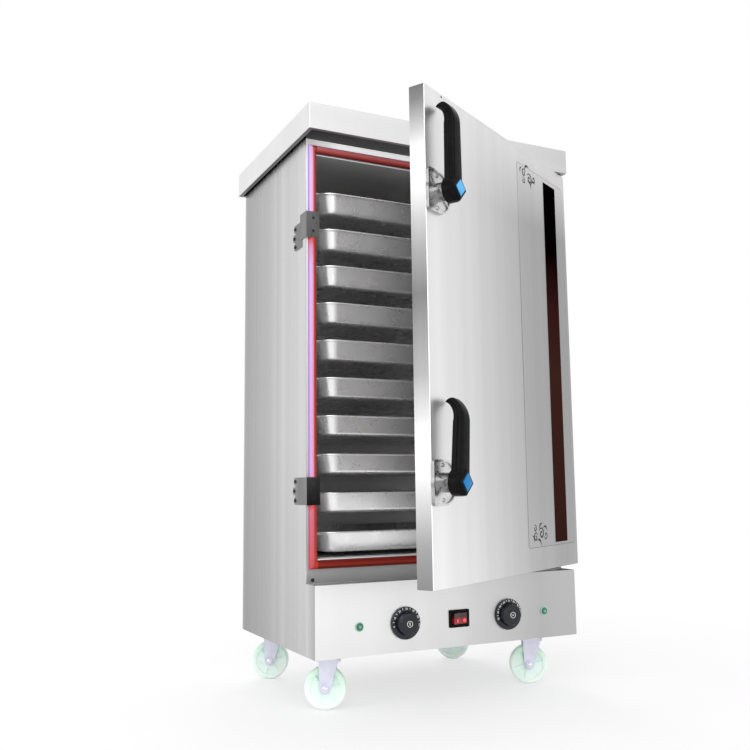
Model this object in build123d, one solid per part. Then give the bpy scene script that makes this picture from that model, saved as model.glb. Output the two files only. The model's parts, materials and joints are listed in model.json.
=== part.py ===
"""Rice steaming cabinet on four casters, with ten pull-out trays and one hinged door.

Millimetres. The origin is on the floor under the middle of the cabinet: X to the right,
Y to the back, Z up. The door is drawn shut and then swung open about its hinge pins.
"""

import os

from build123d import *

# Sheet and general fits
sheet = 1.2
thin_sheet = 1.0
face_gap = 0.3
running_gap = 0.05
hole_gap = 0.1

# Cabinet
cabinet_width = 680.0
cabinet_depth = 440.0
caster_height = 122.0
control_height = 152.5
side_wall = 26.0
back_wall = 32.0
sill_height = 47.5
head_height = 32.0

# Trays and their rails
tray_count = 10
tray_pitch = 86.6
first_lip_height = 59.2
room_above_trays = 79.4
tray_side_gap = 14.0
tray_front_gap = 20.0
tray_back_gap = 8.0
tray_height = 46.0
tray_lip_width = 9.0
tray_lip_height = 3.6
tray_lip_round = 1.5
tray_corner = 40.0
tray_draft = 12.0
tray_floor_round = 12.0
tray_sheet = 0.8
rail_leg = 14.0
rail_shelf = 20.0
rail_end_gap = 10.0

# Top cover
cover_height = 60.0
cover_side = 15.0
cover_front = 62.0
cover_back = 16.0
cover_lip = 10.0

# Control panel box under the door
panel_projection = 50.0
drip_channel_depth = 10.0
controls_height = 61.5
lamp_from_left = 102.0
timer_x = -127.0
rocker_x = 10.0
thermostat_x = 142.0
lamp_from_right = 95.0

# Door
door_thickness = 35.0
door_gap = 10.0
door_edge_gap = 2.0
door_bottom_gap = 14.5
door_top_gap = 6.0
door_edge_round = 2.0
door_open_angle = 28.6
fill_hole_radius = 2.5
fill_hole_x = 66.0
fill_hole_drop = 5.5

# Decorative strip on the door
strip_width = 68.0
strip_from_hinge_edge = 61.0
strip_bottom_margin = 58.0
strip_top_margin = 48.0
strip_thickness = 0.8

# Door gasket
gasket_margin = 6.0
gasket_width = 19.0
gasket_height = 9.5
gasket_round = 9.0

# Door hinges and keepers
hinge_offset_x = 9.0
hinge_plate = 2.0
hinge_height = 60.0
hinge_pin_radius = 4.0
knuckle_radius = 7.0
knuckle_length = 20.0
pin_head_radius = 6.0
pin_head_height = 3.0
hinge_arm_rise = 6.0
hinge_arm_drop = 4.0
leaf_inset = 3.0
hinge_web = 5.0
fixture_heights = (471.5, 1068.5)
keeper_sheet = 1.5
keeper_height = 60.0
keeper_reach = 60.0
keeper_lobe = 9.0
keeper_lobe_step = 21.0
keeper_lobe_back = 6.0
keeper_drops = (0.0, 17.0)
keeper_overhang = 5.0
keeper_proud = 0.5

# Latches
latch_heights = (485.5, 1052.5)
latch_tilts = (5.0, 0.0)
latch_from_edge = 42.0
latch_base_radius = 43.0
latch_base_floor = 4.0
latch_base_rim = 7.0
latch_rim_width = 4.0
latch_base_corner = 6.0
latch_rib = 3.0
latch_rib_angle = 35.0
latch_screw_height = 33.0
latch_screw_side = 5.0
boss_radius = 19.0
boss_length = 24.0
boss_round = 2.0
sleeve_radius = 9.0
spindle_radius = 6.0
hub_radius = 26.0
hub_length = 17.0
head_length = 11.0
head_square = 48.0
head_draft = 32.0
badge_square = 27.0
badge_thickness = 2.0
lever_lengths = (160.0, 180.0)
lever_width = 31.0
lever_top_width = 26.0
lever_curl_length = 46.0
lever_back = 26.0
lever_front = 47.0
lever_tip = 10.0
lever_tip_drop = 7.0
lever_curl_depth = 24.0
lever_curl_out = 8.0
lever_curl_down = 17.0
lever_curl_in = 4.0
lever_inner_down = 20.0
lever_tip_round = 5.0
cam_length = 17.5
cam_width = 11.0
cam_thickness = 3.0
cam_gap = 0.5

# Knobs, rocker and lamps
knob_skirt_radius = 35.0
knob_skirt_height = 5.0
knob_grip_radius = 26.0
knob_grip_top_radius = 23.0
knob_grip_height = 14.0
knob_cap_radius = 7.0
knob_cap_height = 1.5
knob_round = 2.0
knob_clearance = 1.5
shaft_radius = 3.0
shaft_length = 32.0
control_body_width = 50.0
control_body_height = 42.0
control_body_depth = 34.0
control_body_round = 3.0
bushing_radius = 5.0
rocker_bezel_width = 52.0
rocker_bezel_height = 39.0
rocker_bezel_thickness = 2.5
rocker_bezel_corner = 3.0
rocker_pocket_width = 41.0
rocker_pocket_height = 27.0
rocker_wall = 2.0
rocker_depth = 22.0
rocker_side_gap = 1.5
rocker_tilt = 10.0
rocker_pivot_radius = 2.0
rocker_pivot_depth = 3.0
rocker_proud = 7.0
rocker_waist = 2.5
rocker_taper = 3.0
rocker_edge_round = 1.0
lamp_flange_radius = 10.0
lamp_lens_radius = 7.0
lamp_body_radius = 6.0
lamp_flange_height = 2.5
lamp_lens_height = 3.0
lamp_body_length = 26.0
lamp_edge_round = 1.0

# Steam generator in the base
tank_width = 544.0
tank_depth = 304.0
tank_height = 131.0
tank_flange = 12.0
plate_overlap = 13.0
plate_hole_radius = 5.0
plate_hole_pitch = 44.0
plate_edge_margin = 30.0
heater_count = 3
heater_pitch = 120.0
heater_bend = 20.0
heater_rod_radius = 4.0
heater_height = 22.0
heater_length = 230.0
heater_terminal = 22.0
heater_flange = 3.0

# Water feed, drain, vent and mains entry at the back
inlet_from_left = 190.0
inlet_drop = 31.0
inlet_radius = 10.4
inlet_pipe_radius = 9.0
inlet_bore = 7.0
inlet_stub = 25.0
valve_radius = 13.0
valve_length = 30.0
valve_ear = 5.0
valve_ear_root = 3.0
valve_ear_gap = 1.0
float_pivot_radius = 2.0
float_arm_radius = 2.5
float_arm_length = 78.0
float_arm_drop = 16.0
float_radius = 24.0
float_eye = 6.0
float_eye_radius = 4.5
drain_from_right = 160.0
drain_y = 60.0
drain_height = 46.0
drain_radius = 9.0
drain_bore = 6.5
drain_collar = 3.0
drain_valve_radius = 14.0
drain_valve_length = 40.0
drain_valve_gap = 2.0
drain_valve_chamfer = 2.0
drain_spout_length = 16.0
drain_spout_radius = 10.0
drain_lever_length = 62.0
drain_lever_width = 14.0
drain_lever_thickness = 3.0
drain_stem_radius = 4.0
drain_stem_rise = 10.0
drain_stem_floor = 1.0
drain_eye = 9.0
drain_nut_radius = 6.0
drain_nut_height = 3.0
vent_from_right = 110.0
vent_drop = 40.0
vent_radius = 12.5
vent_bore = 11.0
vent_stub = 16.0
gland_from_left = 90.0
gland_height = 33.0
gland_radius = 12.0
gland_thread = 10.0
gland_nut_radius = 14.0
gland_shoulder = 2.0
gland_round = 3.0
gland_bore = 5.0
gland_length = 36.0
gland_nut = 5.0
gland_stub = 18.0
contactor_width = 45.0
contactor_height = 62.0
contactor_depth = 56.0
contactor_slot = 14.0
contactor_slot_reach = 6.0
contactor_poles = 3
contactor_button = 4.0

# Casters
caster_side_inset = 70.0
caster_end_inset = 40.0
caster_plate_width = 84.0
caster_plate_depth = 66.0
caster_plate_thickness = 4.0
caster_plate_corner = 6.0
caster_bolt_x = 32.0
caster_bolt_y = 23.0
race_radius = 26.0
race_height = 11.0
kingpin_radius = 6.0
kingpin_nut_radius = 9.0
kingpin_nut_height = 4.0
fork_crown = 5.0
fork_plate = 3.0
fork_half_length = 26.0
fork_foot_radius = 12.0
fork_corner = 8.0
fork_leg_inset = 4.0
fork_leg_drop = 1.0
wheel_radius = 46.0
wheel_width = 28.0
wheel_edge_round = 6.0
wheel_hub_radius = 17.0
wheel_dish = 3.0
wheel_side_gap = 1.5
caster_trail = 8.0
caster_turn = 28.0
axle_radius = 6.0
axle_head_radius = 9.0
axle_head_height = 4.0
axle_head_round = 1.5

# Base frame and insulation
base_rail_width = 40.0
base_rail_height = 25.0
base_tube_wall = 2.0
base_post_width = 20.0
board_air_gap = 5.8
board_front_gap = 8.0
top_board_thickness = 48.0

# Screws
screw_radius = 2.0
screw_head_radius = 4.0
screw_head_height = 2.2
screw_length = 6.0
countersink_radius = 3.2
screw_slot = 1.0
frame_screw_rise = 7.2
back_screw_inset = 12.0
back_screw_rows = 4

# Places that follow from the sizes above
right = cabinet_width / 2
left = -right
back = cabinet_depth / 2
front = -back
floor_z = caster_height
panel_top = floor_z + control_height
chamber_floor = panel_top + sill_height
lowest_lip = chamber_floor + first_lip_height
lip_tops = [lowest_lip + i * tray_pitch for i in range(tray_count)]
chamber_top = lip_tops[-1] + room_above_trays
cover_bottom = chamber_top + head_height
cover_top = cover_bottom + cover_height
wall_top = cover_top - sheet
chamber_right = right - side_wall
chamber_back = back - back_wall
panel_front = front - panel_projection
controls_z = floor_z + controls_height
lamp_left_x = left + lamp_from_left
lamp_right_x = right - lamp_from_right
door_inner = front - door_gap
door_outer = door_inner - door_thickness
door_right = right - door_edge_gap
door_left = -door_right
door_bottom = panel_top + door_bottom_gap
door_top = cover_bottom - door_top_gap
hinge_x = right + hinge_offset_x
hinge_y = door_inner
gasket_right = right - gasket_margin
gasket_bottom = chamber_floor + sheet - gasket_width
gasket_top = chamber_top - sheet + gasket_width
keeper_front = front - gasket_height + keeper_proud
latch_x = door_left + latch_from_edge
tray_right = chamber_right - tray_side_gap
tray_front = front + tray_front_gap
tray_back = chamber_back - tray_back_gap
tank_bottom = chamber_floor - sheet - tank_height
screw_pattern = ((keeper_reach, keeper_lobe_step), (keeper_reach + keeper_lobe_back, 0.0),
                 (keeper_reach, -keeper_lobe_step))
caster_x = right - caster_side_inset
caster_y = back - caster_end_inset
caster_places = {"front_left": (-caster_x, -caster_y), "front_right": (caster_x, -caster_y),
                 "back_left": (-caster_x, caster_y), "back_right": (caster_x, caster_y)}
caster_bolt_places = [(x + i * caster_bolt_x, y + j * caster_bolt_y)
                      for x, y in caster_places.values() for i in (-1, 1) for j in (-1, 1)]
plate_bottom = floor_z - caster_plate_thickness
race_bottom = plate_bottom - race_height
crown_top = race_bottom - face_gap
crown_bottom = crown_top - fork_crown
inlet_x = left + inlet_from_left
inlet_z = chamber_floor - sheet - inlet_drop
drain_x = right - drain_from_right
drain_z = floor_z + drain_height
vent_x = right - vent_from_right
vent_z = chamber_top - vent_drop
gland_x = left + gland_from_left
gland_z = floor_z + gland_height
heater_z = tank_bottom + heater_height
heater_places = [heater_pitch * (i - (heater_count - 1) / 2) for i in range(heater_count)]
float_pivot_y = tank_depth / 2 - sheet - valve_length - valve_ear - valve_ear_gap
drain_valve_y = back + drain_valve_gap
drain_stem_y = drain_valve_y + drain_valve_length / 2
drain_stem_z = drain_z + drain_valve_radius + drain_stem_rise
rocker_pivot_y = panel_front + rocker_pivot_depth


def box(x0, x1, y0, y1, z0, z1):
    """Box between two corners."""
    return Pos((x0 + x1) / 2, (y0 + y1) / 2, (z0 + z1) / 2) * Box(x1 - x0, y1 - y0, z1 - z0)


def rod_x(radius, y, z, x0, x1):
    return Pos((x0 + x1) / 2, y, z) * Rot(0, 90, 0) * Cylinder(radius, x1 - x0)


def rod_y(radius, x, z, y0, y1):
    return Pos(x, (y0 + y1) / 2, z) * Rot(90, 0, 0) * Cylinder(radius, y1 - y0)


def rod_z(radius, x, y, z0, z1):
    return Pos(x, y, (z0 + z1) / 2) * Cylinder(radius, z1 - z0)


def group(shapes):
    """Separate solids that share one node."""
    return Compound([solid for shape in shapes for solid in shape.solids()])


def mirrored(shape):
    """The same piece on the other side of the cabinet."""
    return mirror(shape, about=Plane.YZ)


def swung(shape):
    """Turn a door piece from shut to the angle at which the door stands open."""
    hinge = Pos(hinge_x, hinge_y, 0)
    return hinge * Rot(0, 0, door_open_angle) * hinge.inverse() * shape


def screw():
    """Pan head screw with a crossed slot: head above the XY plane, shank below."""
    head = Pos(0, 0, screw_head_height / 2) * Cylinder(screw_head_radius, screw_head_height)
    head = fillet(head.edges().group_by(Axis.Z)[-1], screw_head_height / 2)
    shank = Pos(0, 0, -screw_length / 2) * Cylinder(screw_radius, screw_length)
    slot_length = screw_head_radius
    slot = Box(slot_length, screw_slot, screw_head_height)
    cross = slot + Box(screw_slot, slot_length, screw_head_height)
    return head + shank - Pos(0, 0, screw_head_height) * cross


def screw_to_left(x, y, z):
    return Pos(x, y, z) * Rot(0, -90, 0) * screw()


def screw_to_right(x, y, z):
    return Pos(x, y, z) * Rot(0, 90, 0) * screw()


def screw_to_front(x, y, z):
    return Pos(x, y, z) * Rot(90, 0, 0) * screw()


def screw_to_back(x, y, z):
    return Pos(x, y, z) * Rot(-90, 0, 0) * screw()


def side_screw_places(drop_list):
    """Y and Z of the three screws of each plate on a side wall."""
    places = []
    for height, drop in zip(fixture_heights, drop_list):
        for reach, step in screw_pattern:
            places.append((front + reach, height - drop + step))
    return places


left_screw_places = side_screw_places(keeper_drops)
right_screw_places = side_screw_places((0.0, 0.0))
leaf_screw_x = (left - chamber_right + keeper_overhang) / 2
leaf_screw_step = keeper_height / 4
leaf_screw_places = [(leaf_screw_x, height + side * leaf_screw_step)
                     for height in fixture_heights for side in (-1, 1)]
frame_screw_places = [(side * (gasket_right - keeper_lobe), panel_top + frame_screw_rise)
                      for side in (-1, 1)]
back_screw_step = (cover_bottom - floor_z - 2 * back_screw_inset) / (back_screw_rows - 1)
back_screw_places = [(side * (right - back_screw_inset),
                      floor_z + back_screw_inset + row * back_screw_step)
                     for side in (-1, 1) for row in range(back_screw_rows)]


# Cabinet shell

def top_cover():
    x1 = right + cover_side
    y0 = front - cover_front
    y1 = back + cover_back
    outer = box(-x1, x1, y0, y1, cover_bottom, cover_top)
    outer = fillet(outer.edges().filter_by(Axis.Z), sheet)
    cavity = box(-x1 + sheet, x1 - sheet, y0 + sheet, y1 - sheet,
                 cover_bottom + sheet, cover_top - sheet)
    mouth = box(-x1 + cover_lip, x1 - cover_lip, y0 + cover_lip, y1 - cover_lip,
                cover_bottom, cover_bottom + sheet)
    return outer - cavity - mouth


def side_panel(places):
    """Left side wall, with a flange behind it that the back panel is screwed to."""
    wall = box(left, left + sheet, front, back - sheet, floor_z, wall_top)
    flange = box(left + sheet, left + 2 * back_screw_inset, back - 2 * sheet, back - sheet,
                 floor_z + sheet, wall_top)
    for y, z in places:
        wall -= rod_x(screw_radius + hole_gap, y, z, left, left + sheet)
    for x, z in back_screw_places:
        flange -= rod_y(screw_radius + hole_gap, -abs(x), z, back - 2 * sheet, back - sheet)
    return wall + flange


def side_panels():
    return group([side_panel(left_screw_places), mirrored(side_panel(right_screw_places))])


def back_panel():
    panel = box(left, right, back - sheet, back, floor_z, wall_top)
    panel -= rod_y(inlet_pipe_radius + face_gap, inlet_x, inlet_z, back - sheet, back)
    panel -= rod_y(drain_radius + face_gap, drain_x, drain_z, back - sheet, back)
    panel -= rod_y(vent_radius + face_gap, vent_x, vent_z, back - sheet, back)
    panel -= rod_y(gland_thread + hole_gap, gland_x, gland_z, back - sheet, back)
    for x, z in back_screw_places:
        panel -= rod_y(screw_radius + hole_gap, x, z, back - sheet, back)
    return panel


def bottom_panel():
    panel = box(left + sheet, right - sheet, front, back - sheet, floor_z, floor_z + sheet)
    for x, y in caster_bolt_places:
        panel -= rod_z(screw_radius + hole_gap, x, y, floor_z, floor_z + sheet)
    return panel


def base_frame():
    """Two box rails over the casters and four posts that carry the chamber."""
    solids = []
    rail_top = floor_z + sheet + base_rail_height
    half = base_rail_width / 2
    wall = base_tube_wall
    for y in (-caster_y, caster_y):
        x1 = right - sheet - face_gap
        rail = box(-x1, x1, y - half, y + half, floor_z + sheet, rail_top)
        rail -= box(-x1, x1, y - half + wall, y + half - wall,
                    floor_z + sheet + wall, rail_top - wall)
        for x, bolt_y in caster_bolt_places:
            if abs(bolt_y - y) < half:
                rail -= rod_z(screw_radius + hole_gap, x, bolt_y, floor_z + sheet,
                              floor_z + sheet + wall)
        solids.append(rail)
        for x in (-chamber_right + base_post_width, chamber_right - base_post_width):
            w = base_post_width / 2
            post = box(x - w, x + w, y - w, y + w, rail_top, chamber_floor - sheet)
            post -= box(x - w + wall, x + w - wall, y - w + wall, y + w - wall,
                        rail_top, chamber_floor - sheet)
            solids.append(post)
    return group(solids)


def front_frame():
    """Pressed ring around the mouth of the chamber, with a return under the sill."""
    x1 = right - sheet
    ring = box(-x1, x1, front, front + sheet, panel_top, wall_top)
    ring += box(-x1, x1, front, front + 2 * back_screw_inset, panel_top, panel_top + sheet)
    ring -= box(-chamber_right, chamber_right, front, front + sheet, chamber_floor, chamber_top)
    for x, z in leaf_screw_places + frame_screw_places:
        ring -= rod_y(screw_radius + hole_gap, x, z, front, front + sheet)
    return ring


def door_gasket():
    """Silicone ring with a rounded crest, pinched down under the two keeper leaves."""
    y0 = front - gasket_height
    ring = box(-gasket_right, gasket_right, y0, front, gasket_bottom, gasket_top)
    inner_x = gasket_right - gasket_width
    ring -= box(-inner_x, inner_x, y0, front,
                gasket_bottom + gasket_width, gasket_top - gasket_width)
    crest = ring.faces().sort_by(Axis.Y)[0]
    ring = fillet(crest.edges(), gasket_round)
    for height in fixture_heights:
        half = keeper_height / 2 + face_gap
        ring -= box(left, -inner_x, y0, keeper_front + keeper_sheet, height - half, height + half)
    for x, z in leaf_screw_places:
        ring -= rod_y(screw_radius + hole_gap, x, z, y0, front)
    return ring


def insulation():
    """Mineral wool boards round the chamber."""
    board_right = right - sheet - board_air_gap
    liner_right = chamber_right + sheet
    liner_back = chamber_back + sheet
    board_back = back - sheet - screw_length - face_gap
    y0 = front + board_front_gap
    z0 = chamber_floor - sheet
    z1 = chamber_top + sheet
    side_board = box(liner_right, board_right, y0, board_back, z0, z1)
    back_board = box(-liner_right, liner_right, liner_back, board_back, z0, z1)
    back_board -= rod_y(vent_radius + hole_gap, vent_x, vent_z, liner_back, board_back)
    top_board = box(-board_right, board_right, y0, board_back, z1, z1 + top_board_thickness)
    return group([side_board, mirrored(side_board), back_board, top_board])


# Steam chamber

def inner_chamber():
    """Open-fronted liner of butted sheets, with a floor of four strips round the water tank."""
    x1 = chamber_right
    y0 = front + sheet
    y1 = chamber_back
    z0 = chamber_floor - sheet
    hole_x = tank_width / 2 - sheet
    hole_y = tank_depth / 2 - sheet
    side = box(x1, x1 + sheet, y0, y1 + sheet, z0, chamber_top + sheet)
    ceiling = box(-x1, x1, y0, y1 + sheet, chamber_top, chamber_top + sheet)
    rear = box(-x1, x1, y1, y1 + sheet, z0, chamber_top)
    rear -= rod_y(vent_radius + hole_gap, vent_x, vent_z, y1, y1 + sheet)
    front_strip = box(-x1, x1, y0, -hole_y, z0, chamber_floor)
    back_strip = box(-x1, x1, hole_y, y1, z0, chamber_floor)
    side_strip = box(hole_x, x1, -hole_y, hole_y, z0, chamber_floor)
    return group([side, mirrored(side), ceiling, rear, front_strip, back_strip, side_strip,
                  mirrored(side_strip)])


def tray_rails():
    """Ten pairs of angle rails on the chamber's side walls."""
    solids = []
    for lip_top in lip_tops:
        z = lip_top - tray_lip_height
        x1 = chamber_right
        y0 = tray_front + rail_end_gap
        rail = box(x1 - sheet, x1, y0, tray_back, z - rail_leg, z)
        rail += box(x1 - rail_shelf, x1, y0, tray_back, z - sheet, z)
        solids += [rail, mirrored(rail)]
    return group(solids)


def tray_pan(grow):
    """Tapered pan with rounded corners and its top at the XY plane; grow widens it all round."""
    width = 2 * (tray_right - tray_lip_width + grow)
    depth = tray_back - tray_front - 2 * (tray_lip_width - grow)
    drop = tray_height + grow
    upper = RectangleRounded(width, depth, tray_corner + grow)
    lower = RectangleRounded(width - 2 * tray_draft, depth - 2 * tray_draft,
                             tray_corner + grow - tray_draft / 2)
    pan = loft([upper, Pos(0, 0, -drop) * lower])
    return fillet(pan.edges().group_by(Axis.Z)[0], tray_floor_round + grow)


def tray_shape():
    """One tray with its lip's top at the XY plane, centred on the origin."""
    inner = tray_pan(-tray_sheet)
    width = 2 * tray_right
    depth = tray_back - tray_front
    lip_corner = tray_corner + tray_lip_width
    lip = extrude(RectangleRounded(width, depth, lip_corner), -tray_lip_height)
    lip = fillet(lip.edges().group_by(Axis.Z)[-1] + lip.edges().group_by(Axis.Z)[0],
                 tray_lip_round)
    return tray_pan(0.0) + lip - inner


def steam_plate():
    """Perforated plate over the water tank."""
    x1 = tank_width / 2 + plate_overlap
    y1 = tank_depth / 2 + plate_overlap
    plate = box(-x1, x1, -y1, y1, chamber_floor, chamber_floor + sheet)
    columns = int(2 * (x1 - plate_edge_margin) / plate_hole_pitch) + 1
    rows = int(2 * (y1 - plate_edge_margin) / plate_hole_pitch) + 1
    middle = Pos(0, 0, chamber_floor + sheet / 2)
    holes = [middle * place * Cylinder(plate_hole_radius, 2 * sheet)
             for place in GridLocations(plate_hole_pitch, plate_hole_pitch, columns, rows)]
    return plate - holes


def water_tank():
    """Deep pan of welded flat sheets, with a flange under the chamber floor."""
    x1 = tank_width / 2
    y1 = tank_depth / 2
    z0 = tank_bottom + sheet
    z1 = chamber_floor - sheet
    floor = box(-x1, x1, -y1, y1, tank_bottom, z0)
    floor -= rod_z(drain_bore, drain_x, drain_y, tank_bottom, z0)
    side = box(x1 - sheet, x1, -y1, y1, z0, z1)
    rear = box(-x1 + sheet, x1 - sheet, y1 - sheet, y1, z0, z1)
    rear -= rod_y(inlet_pipe_radius, inlet_x, inlet_z, y1 - sheet, y1)
    face = box(-x1 + sheet, x1 - sheet, -y1, -y1 + sheet, z0, z1)
    for x in heater_places:
        for bend in (-heater_bend, heater_bend):
            face -= rod_y(heater_rod_radius, x + bend, heater_z, -y1, -y1 + sheet)
    end_flange = box(x1, x1 + tank_flange, -y1 - tank_flange, y1 + tank_flange, z1 - sheet, z1)
    long_flanges = [box(-x1, x1, y, y + tank_flange, z1 - sheet, z1)
                    for y in (-y1 - tank_flange, y1)]
    return group([floor, side, mirrored(side), rear, face, end_flange, mirrored(end_flange)]
                 + long_flanges)


def heating_elements():
    """Bent rod heaters that enter through the front wall of the tank."""
    solids = []
    wall_y = -tank_depth / 2
    end_y = wall_y + heater_length
    for x in heater_places:
        bend = Pos(x, end_y, heater_z) * Torus(heater_bend, heater_rod_radius)
        reach = 2 * heater_bend
        element = bend & box(x - reach, x + reach, end_y, end_y + reach,
                             heater_z - reach, heater_z + reach)
        for side in (-heater_bend, heater_bend):
            element += rod_y(heater_rod_radius, x + side, heater_z,
                             wall_y - heater_terminal, end_y)
        half = heater_bend + 3 * heater_rod_radius
        element += box(x - half, x + half, wall_y - heater_flange, wall_y,
                       heater_z - 3 * heater_rod_radius, heater_z + 3 * heater_rod_radius)
        solids.append(element)
    return group(solids)


# Water feed, drain, vent and mains entry

def float_valve():
    """Feed pipe through the back wall with the valve that the float arm closes."""
    wall_y = tank_depth / 2 - sheet
    start = wall_y - valve_length
    valve = rod_y(valve_radius, inlet_x, inlet_z, start, wall_y)
    stub_y = back + face_gap
    pipe = rod_y(inlet_pipe_radius, inlet_x, inlet_z, wall_y, stub_y)
    stub = rod_y(inlet_radius, inlet_x, inlet_z, stub_y, stub_y + inlet_stub)
    bore = rod_y(inlet_bore, inlet_x, inlet_z, start + valve_length / 2, stub_y + inlet_stub)
    ear_out = float_eye / 2 + face_gap
    ears = box(inlet_x - 2 * ear_out, inlet_x + 2 * ear_out, float_pivot_y - valve_ear,
               start + valve_ear_root, inlet_z - valve_ear, inlet_z + valve_ear)
    ears -= box(inlet_x - ear_out, inlet_x + ear_out, float_pivot_y - valve_ear, start,
                inlet_z - valve_ear, inlet_z + valve_ear)
    pin_half = 2 * ear_out + valve_ear_gap
    pin = rod_x(float_pivot_radius, float_pivot_y, inlet_z, inlet_x - pin_half, inlet_x + pin_half)
    return valve + pipe + stub + ears + pin - bore


def float_arm():
    """Arm and hollow ball that ride on the water in the tank."""
    pivot = Vector(inlet_x, float_pivot_y, inlet_z)
    ball_centre = pivot + Vector(0, -float_arm_length, -float_arm_drop)
    eye = rod_x(float_eye_radius, pivot.Y, pivot.Z,
                inlet_x - float_eye / 2, inlet_x + float_eye / 2)
    path = Line(pivot, ball_centre)
    arm = sweep(Plane(origin=path @ 0, z_dir=path % 0) * Circle(float_arm_radius), path)
    ball = Pos(*ball_centre) * Sphere(float_radius)
    hole = rod_x(float_pivot_radius + running_gap, pivot.Y, pivot.Z,
                 inlet_x - float_eye, inlet_x + float_eye)
    return eye + arm + ball - hole


def drain_valve():
    """Drain pipe from the tank floor and the ball valve behind the cabinet."""
    pipe = rod_z(drain_radius, drain_x, drain_y, drain_z, tank_bottom)
    pipe += rod_z(2 * drain_radius, drain_x, drain_y, tank_bottom - drain_collar, tank_bottom)
    pipe += Pos(drain_x, drain_y, drain_z) * Sphere(drain_radius)
    pipe += rod_y(drain_radius, drain_x, drain_z, drain_y, drain_valve_y)
    pipe -= rod_z(drain_bore, drain_x, drain_y, drain_z, tank_bottom)
    pipe -= Pos(drain_x, drain_y, drain_z) * Sphere(drain_bore)
    pipe -= rod_y(drain_bore, drain_x, drain_z, drain_y, drain_valve_y)
    end_y = drain_valve_y + drain_valve_length
    body = rod_y(drain_valve_radius, drain_x, drain_z, drain_valve_y, end_y)
    body = chamfer(body.edges().filter_by(GeomType.CIRCLE), drain_valve_chamfer)
    body += rod_y(drain_spout_radius, drain_x, drain_z, end_y, end_y + drain_spout_length)
    body += rod_z(2 * drain_stem_radius, drain_x, drain_stem_y, drain_z, drain_stem_z)
    body -= rod_y(drain_bore, drain_x, drain_z, drain_valve_y, end_y + drain_spout_length)
    body -= rod_z(drain_stem_radius + running_gap, drain_x, drain_stem_y,
                  drain_z + drain_bore + drain_stem_floor, drain_stem_z)
    return group([pipe, body])


def drain_lever():
    """Flat handle of the drain valve, across the pipe when shut."""
    z0 = drain_stem_z + face_gap
    z1 = z0 + drain_lever_thickness
    half = drain_lever_width / 2
    bar = box(drain_x, drain_x + drain_lever_length - half, drain_stem_y - half,
              drain_stem_y + half, z0, z1)
    bar += rod_z(half, drain_x + drain_lever_length - half, drain_stem_y, z0, z1)
    bar += rod_z(drain_eye, drain_x, drain_stem_y, z0, z1)
    stem_bottom = drain_z + drain_bore + drain_stem_floor + face_gap
    stem = rod_z(drain_stem_radius, drain_x, drain_stem_y, stem_bottom, z1)
    nut = extrude(RegularPolygon(drain_nut_radius, 6), drain_nut_height)
    nut = Pos(drain_x, drain_stem_y, z1) * nut
    return bar + stem + nut


def steam_vent():
    """Short tube that lets spent steam out at the back."""
    y0 = chamber_back
    y1 = back + vent_stub
    return (rod_y(vent_radius, vent_x, vent_z, y0, y1)
            - rod_y(vent_bore, vent_x, vent_z, y0, y1))


def cable_gland():
    """Threaded gland for the mains lead, with a nut inside the back panel."""
    y0 = back + gland_stub - gland_length
    y1 = back + gland_stub
    body = rod_y(gland_thread, gland_x, gland_z, y0, y1)
    nut = Rot(90, 0, 0) * extrude(RegularPolygon(gland_nut_radius, 6), gland_nut)
    body += Pos(gland_x, back + gland_nut, gland_z) * nut
    body += Pos(gland_x, back - sheet, gland_z) * nut
    dome = rod_y(gland_radius, gland_x, gland_z, back + gland_nut + gland_shoulder, y1)
    body += fillet(dome.edges().sort_by(Axis.Y)[-1], gland_round)
    return body - rod_y(gland_bore, gland_x, gland_z, y0, y1)


def contactor():
    """Power relay on the bottom panel, with a terminal slot for each pole on both sides."""
    x0 = gland_x + 2 * gland_radius
    x1 = x0 + contactor_width
    z0 = floor_z + sheet
    z1 = z0 + contactor_height
    step = contactor_width / (contactor_poles + 1)
    body = box(x0, x1, -contactor_depth / 2, contactor_depth / 2, z0, z1)
    for y in (-contactor_depth / 2, contactor_depth / 2):
        for pole in range(1, contactor_poles + 1):
            x = x0 + step * pole
            body -= box(x - step / 3, x + step / 3, y - contactor_slot_reach,
                        y + contactor_slot_reach, z1 - contactor_slot, z1)
    return body + box(x0 + step, x1 - step, -contactor_depth / 6, contactor_depth / 6,
                      z1, z1 + contactor_button)


# Control panel

def control_panel():
    """Box front under the door, with a drip channel along its top."""
    y0 = panel_front
    channel = panel_top - drip_channel_depth
    panel = box(left, right, y0, y0 + sheet, floor_z, panel_top)
    side = box(left, left + sheet, y0, front, floor_z, panel_top)
    panel += side + mirrored(side)
    panel += box(left, right, y0, front, channel - sheet, channel)
    panel += box(left, right, front - sheet, front, channel, panel_top)
    panel += box(left, right, y0, front, floor_z, floor_z + sheet)
    edges = panel.edges().filter_by(Axis.Z).group_by(Axis.Y)[0]
    panel = fillet(edges, sheet / 2)
    for x in (lamp_left_x, lamp_right_x):
        panel -= rod_y(lamp_body_radius + hole_gap, x, controls_z, y0, y0 + sheet)
    for x in (timer_x, thermostat_x):
        panel -= rod_y(bushing_radius + hole_gap, x, controls_z, y0, y0 + sheet)
    half_x = rocker_pocket_width / 2 + rocker_wall + hole_gap
    half_z = rocker_pocket_height / 2 + rocker_wall + hole_gap
    panel -= box(rocker_x - half_x, rocker_x + half_x, y0, y0 + sheet,
                 controls_z - half_z, controls_z + half_z)
    return panel


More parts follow.
